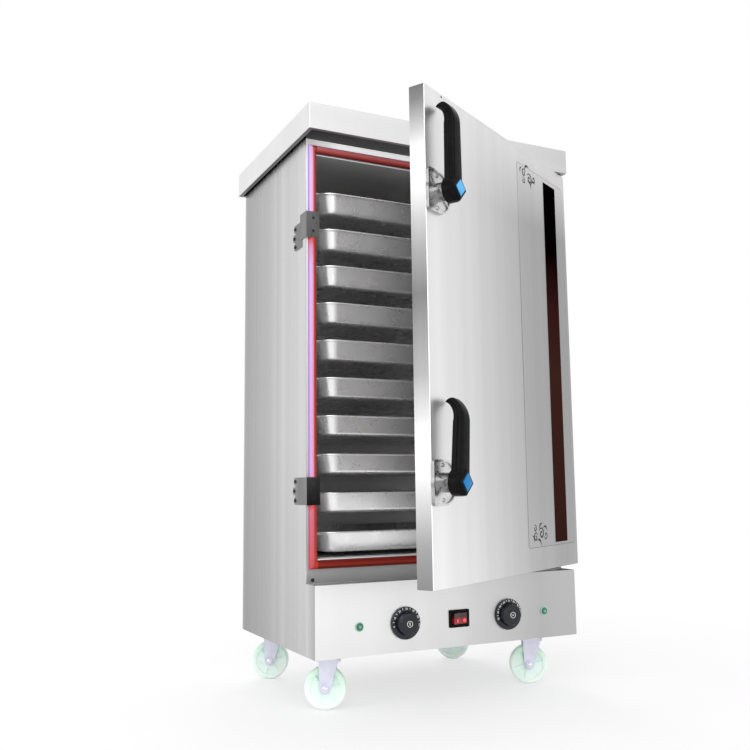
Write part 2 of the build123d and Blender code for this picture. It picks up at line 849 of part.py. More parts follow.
def pilot_lamps():
    """Two signal lamps, each a flange, a domed lens and a body behind the panel."""
    solids = []
    for x in (lamp_left_x, lamp_right_x):
        y0 = panel_front - lamp_flange_height
        flange = rod_y(lamp_flange_radius, x, controls_z, y0, panel_front)
        flange = fillet(flange.edges().sort_by(Axis.Y)[0], lamp_edge_round)
        lens = rod_y(lamp_lens_radius, x, controls_z, y0 - lamp_lens_height, y0)
        lens = fillet(lens.edges().sort_by(Axis.Y)[0], lamp_lens_height * 0.8)
        body = rod_y(lamp_body_radius, x, controls_z, panel_front, panel_front + lamp_body_length)
        solids.append(flange + lens + body)
    return group(solids)


def control_units():
    """Timer and thermostat behind the panel, each with a bored bushing for its shaft."""
    solids = []
    y0 = panel_front + sheet
    y1 = y0 + control_body_depth
    for x in (timer_x, thermostat_x):
        unit = box(x - control_body_width / 2, x + control_body_width / 2, y0, y1,
                   controls_z - control_body_height / 2, controls_z + control_body_height / 2)
        unit = fillet(unit.edges().filter_by(Axis.Y), control_body_round)
        unit += rod_y(bushing_radius, x, controls_z, panel_front - face_gap, y0)
        unit -= rod_y(shaft_radius + running_gap, x, controls_z, panel_front - face_gap,
                      y1 - sheet)
        solids.append(unit)
    return group(solids)


def knob(x):
    """Dial knob with a wide skirt, a raised grip and its shaft."""
    y1 = panel_front - knob_clearance
    y2 = y1 - knob_skirt_height
    y3 = y2 - knob_grip_height
    skirt = rod_y(knob_skirt_radius, x, controls_z, y2, y1)
    skirt = fillet(skirt.edges().sort_by(Axis.Y)[0], knob_round)
    grip = (Pos(x, (y2 + y3) / 2, controls_z) * Rot(90, 0, 0)
            * Cone(knob_grip_radius, knob_grip_top_radius, knob_grip_height))
    grip = fillet(grip.edges().sort_by(Axis.Y)[0], knob_round)
    cap = rod_y(knob_cap_radius, x, controls_z, y3 - knob_cap_height, y3)
    shaft = rod_y(shaft_radius, x, controls_z, y1, y1 + shaft_length)
    return skirt + grip + cap + shaft


def rocker_housing():
    """Bezel and box of the mains switch."""
    half_x = rocker_pocket_width / 2
    half_z = rocker_pocket_height / 2
    y0 = panel_front - rocker_bezel_thickness
    y1 = panel_front + rocker_depth
    bezel = box(rocker_x - rocker_bezel_width / 2, rocker_x + rocker_bezel_width / 2,
                y0, panel_front,
                controls_z - rocker_bezel_height / 2, controls_z + rocker_bezel_height / 2)
    bezel = fillet(bezel.edges().filter_by(Axis.Y), rocker_bezel_corner)
    outer_x = half_x + rocker_wall
    outer_z = half_z + rocker_wall
    body = box(rocker_x - outer_x, rocker_x + outer_x, panel_front, y1,
               controls_z - outer_z, controls_z + outer_z)
    pocket = box(rocker_x - half_x, rocker_x + half_x, y0, y1 - rocker_wall,
                 controls_z - half_z, controls_z + half_z)
    pivot = rod_z(rocker_pivot_radius + running_gap, rocker_x, rocker_pivot_y,
                  controls_z - half_z - rocker_wall / 2, controls_z + half_z + rocker_wall / 2)
    return bezel + body - pocket - pivot


def power_rocker():
    """Two-way rocker on an upright pivot, pressed in on its right side."""
    half_x = rocker_pocket_width / 2 - rocker_side_gap
    half_z = rocker_pocket_height / 2 - rocker_side_gap
    crown = -rocker_bezel_thickness - rocker_proud
    foot_x = half_x - rocker_taper
    outline = Polyline((-half_x, crown), (0, crown + rocker_waist), (half_x, crown),
                       (foot_x, rocker_taper), (-foot_x, rocker_taper), close=True)
    body = extrude(make_face(outline), half_z, both=True)
    body = fillet(body.edges().filter_by(Axis.Z).group_by(Axis.Y)[0], rocker_edge_round)
    pin_half = half_z + rocker_side_gap + rocker_wall / 2 - face_gap
    body += Cylinder(rocker_pivot_radius, 2 * pin_half)
    return Pos(rocker_x, rocker_pivot_y, controls_z) * Rot(0, 0, rocker_tilt) * body


# Door, hinges, keepers and latches

def door_block(inset):
    """Outer shape of the door shut, drawn in by inset on every side but the inner face."""
    return box(door_left + inset, door_right - inset, door_outer + inset, door_inner,
               door_bottom + inset, door_top - inset)


def door_skin():
    """Folded outer pan of the door."""
    pan = door_block(0.0)
    pan = fillet(pan.edges().filter_by(Axis.Z).group_by(Axis.Y)[0], door_edge_round)
    pan -= door_block(thin_sheet)
    for z in latch_heights:
        pan -= rod_y(sleeve_radius + hole_gap, latch_x, z, door_outer, door_outer + thin_sheet)
        for side in (-1, 1):
            pan -= rod_y(screw_radius + hole_gap, latch_x - latch_screw_side,
                         z + side * latch_screw_height, door_outer, door_outer + thin_sheet)
    pan -= rod_y(fill_hole_radius, door_left + fill_hole_x, door_top - fill_hole_drop,
                 door_outer, door_outer + thin_sheet)
    for height in fixture_heights:
        for y, z in hinge_screw_places(height):
            pan -= rod_x(screw_radius + hole_gap, y, z, door_right - thin_sheet, door_right)
    return swung(pan)


def door_liner():
    """Flat inner sheet of the door, which the gasket seals on."""
    sheet_box = box(door_left + thin_sheet, door_right - thin_sheet,
                    door_inner - thin_sheet, door_inner,
                    door_bottom + thin_sheet, door_top - thin_sheet)
    for z in latch_heights:
        sheet_box -= rod_y(spindle_radius + face_gap, latch_x, z,
                           door_inner - thin_sheet, door_inner)
    return swung(sheet_box)


def door_insulation():
    """Foam that fills the door between the two sheets."""
    inset = thin_sheet + screw_length
    foam = box(door_left + thin_sheet, door_right - inset,
               door_outer + thin_sheet, door_inner - thin_sheet,
               door_bottom + thin_sheet, door_top - thin_sheet)
    for z in latch_heights:
        foam -= rod_y(sleeve_radius + hole_gap, latch_x, z, door_outer, door_inner)
        for side in (-1, 1):
            foam -= rod_y(screw_radius + hole_gap, latch_x - latch_screw_side,
                          z + side * latch_screw_height, door_outer,
                          door_outer + screw_length)
    return swung(foam)


def decor_strip():
    """Dark glass strip set on the face of the door."""
    x1 = door_right - strip_from_hinge_edge
    strip = box(x1 - strip_width, x1, door_outer - strip_thickness, door_outer,
                door_bottom + strip_bottom_margin, door_top - strip_top_margin)
    return swung(strip)


def hinge_screw_places(height):
    """Y and Z of the screws that hold a hinge leaf to the edge of the door."""
    y = (door_outer + door_inner) / 2
    return [(y, height - keeper_lobe_step), (y, height + keeper_lobe_step)]


def cabinet_hinge(height):
    """Leaf on the cabinet's right wall with two outer knuckles, and its pin."""
    half = hinge_height / 2
    middle = knuckle_length / 2
    y1 = front + keeper_reach
    plate = box(right, right + hinge_plate, front, y1, height - half, height + half)
    for reach, step in screw_pattern:
        plate += rod_x(keeper_lobe, front + reach, height + step, right, right + hinge_plate)
    arm = make_face(Polyline((right, front), (right + hinge_plate, front + hinge_arm_rise),
                             (hinge_x + hinge_arm_rise, hinge_y), (hinge_x, hinge_y),
                             (right + hinge_plate, front - hinge_arm_drop),
                             (right, front - hinge_arm_drop / 2), close=True))
    knuckle_face = Pos(hinge_x, hinge_y) * Circle(knuckle_radius)
    for z0 in (height - half, height + middle):
        segment = extrude(arm + knuckle_face, half - middle)
        plate += Pos(0, 0, z0) * segment
    plate -= rod_z(hinge_pin_radius, hinge_x, hinge_y, height - half, height + half)
    for reach, step in screw_pattern:
        plate -= rod_x(screw_radius + hole_gap, front + reach, height + step, right,
                       right + hinge_plate)
    pin = rod_z(hinge_pin_radius, hinge_x, hinge_y, height - half, height + half)
    pin += rod_z(pin_head_radius, hinge_x, hinge_y, height + half, height + half + pin_head_height)
    return [plate, pin]


def cabinet_hinges():
    return group([piece for height in fixture_heights for piece in cabinet_hinge(height)])


def door_hinges():
    """Leaves on the edge of the door, each with one knuckle between the cabinet's two."""
    solids = []
    half = hinge_height / 2
    middle = knuckle_length / 2 - face_gap
    y0 = door_outer + leaf_inset
    y1 = door_inner - leaf_inset
    for height in fixture_heights:
        leaf = box(door_right, door_right + hinge_plate, y0, y1, height - half, height + half)
        web = box(door_right, hinge_x, y1 - hinge_web, y1 + leaf_inset / 3,
                  height - middle, height + middle)
        leaf += web + rod_z(knuckle_radius, hinge_x, hinge_y, height - middle, height + middle)
        leaf -= rod_z(hinge_pin_radius + running_gap, hinge_x, hinge_y,
                      height - middle, height + middle)
        for y, z in hinge_screw_places(height):
            leaf -= rod_x(screw_radius + hole_gap, y, z, door_right, door_right + hinge_plate)
        solids.append(leaf)
    return swung(group(solids))


def keeper(height, drop):
    """Bent strike plate: three-screw plate on the left wall, leaf over the gasket."""
    half = keeper_height / 2
    x0 = left - keeper_sheet
    step_y = front + keeper_reach / 2
    plate = box(x0, left, keeper_front, step_y, height - half, height + half)
    plate += box(x0, left, step_y - keeper_lobe, front + keeper_reach,
                 height - drop - half, height - drop + half)
    for reach, step in screw_pattern:
        plate += rod_x(keeper_lobe, front + reach, height - drop + step, x0, left)
    leaf_end = -(gasket_right - gasket_width) + keeper_overhang
    plate += box(x0, leaf_end, keeper_front, keeper_front + keeper_sheet,
                 height - half, height + half)
    for reach, step in screw_pattern:
        plate -= rod_x(screw_radius + hole_gap, front + reach, height - drop + step, x0, left)
    return plate


def keepers():
    solids = []
    for height, drop in zip(fixture_heights, keeper_drops):
        plate = keeper(height, drop)
        for x, z in leaf_screw_places:
            plate -= rod_y(screw_radius + hole_gap, x, z, keeper_front,
                           keeper_front + keeper_sheet)
            plate -= countersink(x, z, hole_gap)
        solids.append(plate)
    return group(solids)


def countersink(x, z, grow):
    """Cone of a flat screw head that ends flush with the keeper leaf."""
    head = Cone(screw_radius + grow, countersink_radius + grow, keeper_sheet)
    return Pos(x, keeper_front + keeper_sheet / 2, z) * Rot(90, 0, 0) * head


def cabinet_screws():
    """Screws of the keepers, hinges, front frame and back panel."""
    solids = [screw_to_left(left - keeper_sheet, y, z) for y, z in left_screw_places]
    solids += [screw_to_right(right + hinge_plate, y, z) for y, z in right_screw_places]
    solids += [screw_to_front(x, front, z) for x, z in frame_screw_places]
    solids += [screw_to_back(x, back, z) for x, z in back_screw_places]
    for x, z in leaf_screw_places:
        shank = rod_y(screw_radius, x, z, keeper_front + keeper_sheet, front + 3 * sheet)
        solids.append(shank + countersink(x, z, 0.0))
    return group(solids)


def door_screws():
    """Screws of the hinge leaves and of the latch bases."""
    solids = [screw_to_right(door_right + hinge_plate, y, z)
              for height in fixture_heights for y, z in hinge_screw_places(height)]
    solids += [screw_to_front(latch_x - latch_screw_side, door_outer - latch_base_floor,
                              z + side * latch_screw_height)
               for z in latch_heights for side in (-1, 1)]
    return swung(group(solids))


def latch_base(height):
    """Cast base with a rim, four ribs, a boss and a sleeve through the door."""
    outline = Pos(0, 0) * Circle(latch_base_radius)
    half_width = latch_from_edge / 2
    outline += Pos(-half_width, 0) * Rectangle(latch_from_edge, 2 * latch_base_radius)
    corners = outline.vertices().group_by(Axis.X)[0]
    outline = fillet(corners, latch_base_corner)
    hollow = offset(outline, -latch_rim_width)
    base = extrude(outline, latch_base_rim)
    pocket = extrude(Pos(0, 0, latch_base_floor) * hollow, latch_base_rim)
    base -= pocket
    rib_length = 2 * (latch_base_radius - latch_rim_width / 2)
    rib = Pos(0, 0, latch_base_rim / 2) * Box(rib_length, latch_rib, latch_base_rim)
    base += Rot(0, 0, latch_rib_angle) * rib + Rot(0, 0, -latch_rib_angle) * rib
    boss = Pos(0, 0, boss_length / 2) * Cylinder(boss_radius, boss_length)
    base += fillet(boss.edges().group_by(Axis.Z)[-1], boss_round)
    sleeve_length = door_thickness - thin_sheet
    base += Pos(0, 0, -sleeve_length / 2) * Cylinder(sleeve_radius, sleeve_length)
    base -= Cylinder(spindle_radius + running_gap, 3 * door_thickness)
    for side in (-1, 1):
        base -= (Pos(-latch_screw_side, side * latch_screw_height, latch_base_floor / 2)
                 * Cylinder(screw_radius + hole_gap, latch_base_floor))
        base -= (Pos(-latch_screw_side, side * latch_screw_height, 1.5 * latch_base_floor)
                 * Cylinder(screw_head_radius + face_gap, latch_base_floor))
    return Pos(latch_x, door_outer, height) * Rot(90, 0, 0) * base


def latch_bases():
    return swung(group([latch_base(z) for z in latch_heights]))


def placed_on_spindle(shape, height, tilt):
    """Put a latch piece, drawn with its axis along Z and its lever along Y, on the door."""
    return swung(Pos(latch_x, door_outer, height) * Rot(90, 0, 0) * Rot(0, 0, -tilt) * shape)


def lever_bar(length):
    """Side profile of the grip that curls back to the door, cut to its front outline."""
    straight = length - lever_curl_length
    front_start = (lever_front, 0)
    front_end = (lever_front, straight)
    front_bulge = (lever_front - lever_curl_out, length - lever_curl_down)
    crest = (lever_front - lever_curl_depth, length)
    tip = (lever_tip, length - lever_tip_drop)
    tip_bulge = (lever_tip + lever_tip_round, length - lever_tip_round / 10)
    back_bulge = (lever_back - lever_curl_in, length - lever_inner_down)
    back_end = (lever_back, straight)
    back_start = (lever_back, 0)
    side = make_face([Line(front_start, front_end), ThreePointArc(front_end, front_bulge, crest),
                      ThreePointArc(crest, tip_bulge, tip),
                      ThreePointArc(tip, back_bulge, back_end), Line(back_end, back_start),
                      Line(back_start, front_start)])
    bar = extrude(Plane(origin=(0, 0, 0), x_dir=(0, 0, 1), z_dir=(-1, 0, 0)) * side,
                  lever_width, both=True)
    half = lever_width / 2
    top_half = lever_top_width / 2
    outline = make_face(Polyline((-half, 0), (-top_half, length + 1),
                                 (top_half, length + 1), (half, 0), close=True))
    return bar & extrude(outline, 2 * lever_front)


def lever(height, tilt, length):
    """Moulded hub and grip, with a raised square badge on the hub."""
    z0 = boss_length + face_gap
    hub = Pos(0, 0, z0 + hub_length / 2) * Cylinder(hub_radius, hub_length)
    head = extrude(Pos(0, 0, z0 + hub_length) * Rot(0, 0, 45) * Rectangle(head_square, head_square),
                   head_length, taper=head_draft)
    head &= Pos(0, 0, z0 + hub_length + head_length / 2) * Cylinder(hub_radius, head_length)
    top = z0 + hub_length + head_length
    badge = Pos(0, 0, top + badge_thickness / 2) * Rot(0, 0, 45) * Box(
        badge_square, badge_square, badge_thickness)
    whole = hub + head + lever_bar(length) + badge
    whole -= Pos(0, 0, z0 + hub_length / 2) * Cylinder(spindle_radius, hub_length)
    return placed_on_spindle(whole, height, tilt)


def latch_cam(height, tilt):
    """Spindle through the door, with the cam that turns behind the keeper leaf."""
    cam_front = keeper_front + keeper_sheet + cam_gap - door_outer
    z1 = boss_length + face_gap + hub_length
    shape = Pos(0, 0, (z1 - cam_front) / 2) * Cylinder(spindle_radius, z1 + cam_front)
    reach = cam_length - cam_width / 2
    z_mid = -cam_front - cam_thickness / 2
    shape += Pos(0, -reach / 2, z_mid) * Box(cam_width, reach, cam_thickness)
    shape += Pos(0, -reach, z_mid) * Cylinder(cam_width / 2, cam_thickness)
    shape += Pos(0, 0, z_mid) * Cylinder(spindle_radius + 2, cam_thickness)
    return placed_on_spindle(shape, height, tilt)


# Casters

def caster_plates():
    """Top plate, race and kingpin of each caster, with its four bolts."""
    solids = []
    for i, (x, y) in enumerate(caster_places.values()):
        plate = box(x - caster_plate_width / 2, x + caster_plate_width / 2,
                    y - caster_plate_depth / 2, y + caster_plate_depth / 2, plate_bottom, floor_z)
        plate = fillet(plate.edges().filter_by(Axis.Z), caster_plate_corner)
        plate += rod_z(race_radius, x, y, race_bottom, plate_bottom)
        plate += rod_z(kingpin_radius, x, y, crown_bottom - face_gap, race_bottom)
        plate += rod_z(kingpin_nut_radius, x, y,
                       crown_bottom - face_gap - kingpin_nut_height, crown_bottom - face_gap)
        for bolt_x, bolt_y in caster_bolt_places[4 * i:4 * i + 4]:
            plate += Pos(bolt_x, bolt_y, plate_bottom) * Rot(180, 0, 0) * caster_bolt()
        solids.append(plate)
    return group(solids)


def caster_bolt():
    head = extrude(RegularPolygon(screw_head_radius, 6), screw_head_height)
    length = caster_plate_thickness + sheet
    return head + Pos(0, 0, -length / 2) * Cylinder(screw_radius, length)


def caster_fork():
    """Fork of pressed plate with its axle, drawn with its swivel axis on Z and its axle along Y."""
    inner = wheel_width / 2 + wheel_side_gap
    outer = inner + fork_plate
    crown = box(-fork_half_length, fork_half_length, -outer, outer, crown_bottom, crown_top)
    crown = fillet(crown.edges().filter_by(Axis.Z), fork_corner)
    leg_half = fork_half_length - fork_leg_inset
    leg_top = crown_top - fork_leg_drop
    leg = make_face(Polyline((-leg_half, leg_top), (leg_half, leg_top),
                             (fork_foot_radius - caster_trail, wheel_radius),
                             (-fork_foot_radius - caster_trail, wheel_radius), close=True))
    leg += Pos(-caster_trail, wheel_radius) * Circle(fork_foot_radius)
    leg_solid = extrude(Plane.XZ * leg, fork_plate)
    fork = crown + Pos(0, -inner, 0) * leg_solid + Pos(0, outer, 0) * leg_solid
    fork -= rod_z(kingpin_radius + running_gap, 0, 0, crown_bottom, crown_top)
    fork -= rod_y(axle_radius, -caster_trail, wheel_radius, -outer, outer)
    axle = rod_y(axle_radius, -caster_trail, wheel_radius, -outer, outer)
    for start in (-outer - axle_head_height, outer):
        head = rod_y(axle_head_radius, -caster_trail, wheel_radius, start,
                     start + axle_head_height)
        axle += fillet(head.edges().filter_by(GeomType.CIRCLE), axle_head_round)
    return group([fork, axle])


def caster_wheel():
    """Solid wheel with a dished web and a bored hub, drawn as it sits in the fork."""
    half = wheel_width / 2
    wheel = rod_y(wheel_radius, -caster_trail, wheel_radius, -half, half)
    wheel = fillet(wheel.edges().filter_by(GeomType.CIRCLE), wheel_edge_round)
    for y0 in (-half, half - wheel_dish):
        dish = rod_y(wheel_radius - 2 * wheel_edge_round, -caster_trail, wheel_radius,
                     y0, y0 + wheel_dish)
        dish -= rod_y(wheel_hub_radius, -caster_trail, wheel_radius, y0, y0 + wheel_dish)
        wheel -= dish
    return wheel - rod_y(axle_radius + running_gap, -caster_trail, wheel_radius, -half, half)


def write(name, shape):
    export_step(shape, os.path.join("parts", name + ".step"))


single_nodes = (top_cover, side_panels, back_panel, bottom_panel, base_frame, front_frame,
                door_gasket, insulation, inner_chamber, tray_rails, steam_plate, water_tank,
                heating_elements, float_valve, float_arm, drain_valve, drain_lever, steam_vent,
                cable_gland, contactor, control_panel, pilot_lamps, control_units,
                rocker_housing, power_rocker, door_skin, door_liner, door_insulation,
                decor_strip, cabinet_hinges, door_hinges, keepers, cabinet_screws, door_screws,
                latch_bases, caster_plates)

os.makedirs("parts", exist_ok=True)
for build in single_nodes:
    write(build.__name__, build())
write("timer_knob", knob(timer_x))
write("thermostat_knob", knob(thermostat_x))
for name, height, tilt, length in zip(("lower", "upper"), latch_heights, latch_tilts,
                                      lever_lengths):
    write(name + "_lever", lever(height, tilt, length))
    write(name + "_latch_cam", latch_cam(height, tilt))
tray = tray_shape()
tray_middle = (tray_front + tray_back) / 2
for number, lip_top in enumerate(lip_tops, start=1):
    write(f"tray_{number:02d}", Pos(0, tray_middle, lip_top) * tray)
fork = caster_fork()
wheel = caster_wheel()
for name, (x, y) in caster_places.items():
    place = Pos(x, y, 0) * Rot(0, 0, -caster_turn)
    write(name + "_fork", place * fork)
    write(name + "_wheel", place * wheel)
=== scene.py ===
"""Looks of the rice steaming cabinet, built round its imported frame. Lengths are in metres."""

import json
import math

import bmesh
import bpy
from mathutils import Matrix, Vector


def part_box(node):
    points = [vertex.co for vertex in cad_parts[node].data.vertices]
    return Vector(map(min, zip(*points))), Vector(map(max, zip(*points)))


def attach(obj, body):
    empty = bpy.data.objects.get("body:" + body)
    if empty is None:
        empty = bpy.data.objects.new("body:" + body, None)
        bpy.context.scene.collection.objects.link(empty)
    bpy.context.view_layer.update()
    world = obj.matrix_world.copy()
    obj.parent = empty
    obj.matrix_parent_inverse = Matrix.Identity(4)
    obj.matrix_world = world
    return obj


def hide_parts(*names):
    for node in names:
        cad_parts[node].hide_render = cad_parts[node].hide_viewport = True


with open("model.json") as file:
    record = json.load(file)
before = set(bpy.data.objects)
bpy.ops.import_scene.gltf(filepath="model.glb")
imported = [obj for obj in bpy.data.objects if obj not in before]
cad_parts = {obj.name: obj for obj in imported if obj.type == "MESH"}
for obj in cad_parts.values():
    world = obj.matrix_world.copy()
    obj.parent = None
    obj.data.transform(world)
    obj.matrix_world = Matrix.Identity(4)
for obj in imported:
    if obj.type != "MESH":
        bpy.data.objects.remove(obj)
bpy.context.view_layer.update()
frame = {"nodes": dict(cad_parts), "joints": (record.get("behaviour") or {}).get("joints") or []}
nodes = frame["nodes"]
joints = {joint["name"]: joint for joint in frame["joints"]}

MM = 0.001
CORNERS = [f"{end}_{side}" for end in ("front", "back") for side in ("left", "right")]


def mm(*points):
    """Points of a plane, written in millimetres."""
    return [(x * MM, y * MM) for x, y in points]


def rectangle(x0, x1, y0, y1):
    """Corner points of a rectangle."""
    return [(x0, y0), (x1, y0), (x1, y1), (x0, y1)]


# Camera of the photograph
CAMERA_PLACE = (-1.05784, -2.02482, 0.47802)
CAMERA_YAW = 26.21
CAMERA_PITCH = 7.25
CAMERA_ROLL = -0.64
CAMERA_SENSOR = 36.0
CAMERA_LENS = 42.42

# Latch lever, drawn with its spindle along Z and its grip along Y
HUB_RADIUS = 26 * MM
HUB_BACK = 24.3 * MM
HUB_FRONT = 41.3 * MM
HUB_EDGE = 1.2 * MM
HUB_STEPS = 72
HEAD_FRONT = 52.3 * MM
HEAD_HALF = 17.1 * MM
HEAD_CORNER = 2.5 * MM
BADGE_HALF = 13.4 * MM
BADGE_RIM = 1.6 * MM
BADGE_SEAT = 0.5 * MM
BADGE_THICKNESS = 1.6 * MM
BADGE_STEP = 0.4 * MM
BADGE_CORNER = 1.5 * MM
BADGE_EDGE = 0.3 * MM
GRIP_FRONT = 49.5 * MM
GRIP_BACK = 25 * MM
GRIP_START = 8 * MM
GRIP_CURL = 46 * MM
GRIP_HALF_WIDTH = 17 * MM
GRIP_TOP_HALF_WIDTH = 14.5 * MM
GRIP_TIP_HALF_WIDTH = 10 * MM
GRIP_CORNER = 4.5 * MM
GRIP_CORNER_LIMIT = 0.8
GRIP_GROOVE = 1.3 * MM
GRIP_GROOVE_HALF = 1.8 * MM
GRIP_LENGTH = {"lower": 160 * MM, "upper": 180 * MM}
LEVER_TILT = {"lower": math.radians(-5.0), "upper": 0.0}

# Curl at the end of the grip: each point's depth behind the grip's face and drop from its top
CURL_SHOULDER, CURL_CREST, CURL_BEAK, CURL_POINT = mm((8, 17), (24, 0), (37.5, 0.5), (43, 6.5))
CURL_HOLLOW, CURL_UNDER = mm((28.5, 20), (42.6, 7))
STRAIGHT_STEPS = 8
CURL_STEPS = 10
BEAK_STEPS = 4

# Dials, drawn facing +Z: outlines, and profiles of radius and height
SKIRT_FACE = 6.5 * MM
NUMERAL_SIZE = 6.4 * MM
NUMERAL_RADIUS = 30.6 * MM
PRINT_THICKNESS = 0.3 * MM
TICK = rectangle(30.0 * MM, 33.8 * MM, -0.5 * MM, 0.5 * MM)
CAP_RING = mm((5.4, 22.0), (5.8, 22.6), (6.8, 22.6), (7.2, 22.0), (7.3, 20.4), (5.4, 20.4))
FACE_RING = mm((17.0, 20.3), (17.3, 20.9), (18.0, 21.1), (18.7, 20.9), (19.0, 20.3))
POINTER = rectangle(-0.7 * MM, 0.7 * MM, 19.5 * MM, 22.0 * MM)
POINTER_BACK, POINTER_FRONT = 20.3 * MM, 20.8 * MM
CAP_MARK_BACK, CAP_MARK_FRONT = 21.5 * MM, 22.3 * MM
MARK_EDGE = 0.1 * MM
SLOT_MARK = rectangle(-0.8 * MM, 0.8 * MM, -3.4 * MM, 3.4 * MM)
DIAMOND_MARK = mm((0, -1.8), (1.8, 0), (0, 1.8), (-1.8, 0))

# Raised marks of the rocker, a line and a ring, from its pivot and its tilted face
ROCKER_TILT = math.radians(10.0)
ROCKER_MARK_X = 10 * MM
ROCKER_MARK_DROP = 4.5 * MM
ROCKER_MARK_SINK = 1.9 * MM
ROCKER_MARK_BACK, ROCKER_MARK_FRONT = -1.0 * MM, 0.4 * MM
ROCKER_LINE = rectangle(-0.8 * MM, 0.8 * MM, -3 * MM, 3 * MM)
ROCKER_RING = mm((1.9, -1.0), (1.9, 0.4), (3.2, 0.4), (3.2, -1.0))
ROCKER_EDGE = 0.2 * MM

# Casters, along each axle from the wheel's middle
RIB_OUTLINE = mm((15.5, -2.4), (36.5, -1.2), (36.5, 1.2), (15.5, 2.4))
RIB_FOOT, RIB_TOP = 10.5 * MM, 13.2 * MM
RIB_EDGE = 0.8 * MM
RIBS = 6
RIB_START = 0.2
AXLE_HEAD = mm((0.0, 24.3), (2.6, 24.0), (4.8, 23.1), (5.6, 21.9), (0.0, 21.9))

# Trim of the chamber's sill, over its floor and behind the frame's face
CHAMBER_INSET = 3 * MM
SILL_LOW, SILL_HIGH = 1.3 * MM, 4.6 * MM
SILL_BACK, SILL_FRONT = -2.4 * MM, -0.4 * MM
SILL_EDGE = 0.5 * MM

# Rolled rim under the front of the chamber's ceiling
RIM_BACK = 2.5 * MM
RIM_SHEET = 0.5 * MM
RIM_DROP = 5 * MM
RIM_BEAD = 1.0 * MM
RIM_CORNER = 0.9 * MM

# Filling plug of the door: its profile, and its place from the free edge and the top
FILL_PLUG = mm((0.0, -0.3), (1.8, -0.4), (2.4, -0.7), (2.4, -0.95), (0.0, -0.95))
FILL_HOLE_X = 66 * MM
FILL_HOLE_DROP = 5.5 * MM

# Printed film on the door, in the shut door's X and Z
FILM_LEFT = 66 * MM
FILM_RIGHT = 321 * MM
FILM_BOTTOM = 340 * MM
FILM_TOP = 1229 * MM
FILM_CORNER = 6 * MM
FILM_LINE = 1.3 * MM
FILM_LINE_THICKNESS, FILM_THICKNESS = 0.2 * MM, 0.3 * MM

# Ornaments: where each stands and which way up, its curls with place, size, number of turns,
# start and sense, and its leaves with place, length and turn
ORNAMENTS = ((119 * MM, 1206 * MM, 1), (120 * MM, 368 * MM, -1))
ORNAMENT_SCALE = 1.2
CURLS = ((-14, 4, 9, 1.3, 0.4, 1), (-16, -12, 7, 1.2, 2.0, -1),
         (11, -2, 11, 1.4, 2.6, -1), (30, 2, 8, 1.1, 3.4, 1))
CURL_STEPS_PER_TURN = 28
CURL_WIND = 0.85
CURL_WIDTH, CURL_SWELL = 0.14, 0.20
LEAVES = ((-10, 10, 22, 0.5), (2, -8, 20, -0.7), (-30, 0, 16, 1.0), (18, -12, 20, 0.3))
LEAF_STEPS = 16
LEAF_BOW = 0.28
LEAF_WIDTH, LEAF_SWELL = 0.03, 0.17
RIBBON_THICKNESS = 0.5 * MM

# Steps round a rounded corner, and the height within which points count as level
CORNER_STEPS = 6
LEVEL = 1e-7

# Lamps: place, target, width in metres and power in watts
LAMPS = {"key": ((-1.8, -2.4, 2.6), (0, 0, 0.7), 2.2, 28),
         "fill": ((0.4, -3.2, 0.9), (0, 0, 0.6), 2.4, 22),
         "side": ((-3.2, -0.2, 1.4), (0, 0, 0.8), 2.0, 14),
         "rim": ((0.6, 2.4, 2.6), (0, 0, 0.8), 2.0, 18)}

# Room that the metals mirror: grey levels from its back, 0, to its front, 1
ROOM_FRONT = (-0.2, -0.98, 0.0)
ROOM_LEVELS = ((0.0, 1.0), (0.2, 0.98), (0.4, 0.8), (0.55, 0.86), (0.85, 1.0), (1.0, 1.0))
ROOM_LIGHT = 0.85

# Floor, with the distances between which it fades to white
FLOOR_HALF = 14.0
FADE_START, FADE_END = 0.5, 1.5


# Places read from the frame

def joint_place(name):
    return Vector(joints[name]["pos_m"])


door_hinge = joint_place("door_swing")
door_angle = -math.radians(joints["door_swing"]["range_deg"][0])
door_swing = (Matrix.Translation(door_hinge) @ Matrix.Rotation(door_angle, 4, "Z")
              @ Matrix.Translation(-door_hinge))
door_shut = [door_swing.inverted() @ vertex.co for vertex in nodes["door_skin"].data.vertices]
door_left = min(place.x for place in door_shut)
door_right = max(place.x for place in door_shut)
door_face = min(place.y for place in door_shut)
door_top = max(place.z for place in door_shut)
door_across = door_swing.to_3x3() @ Vector((1, 0, 0))
door_outward = door_swing.to_3x3() @ Vector((0, -1, 0))
cover_low, cover_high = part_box("top_cover")
chamber_low, chamber_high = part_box("inner_chamber")
TO_FRONT = Matrix.Rotation(math.radians(90), 4, "X")


def latch_place(name):
    """Matrix that puts a lever drawn round its spindle on the open door."""
    shut = door_swing.inverted() @ joint_place(name + "_latch_turn")
    return (door_swing @ Matrix.Translation(shut) @ TO_FRONT
            @ Matrix.Rotation(LEVER_TILT[name], 4, "Z"))


def dial_place(name):
    """Matrix that puts a dial drawn facing +Z on the control panel."""
    return Matrix.Translation(joint_place(name)) @ TO_FRONT


# Materials

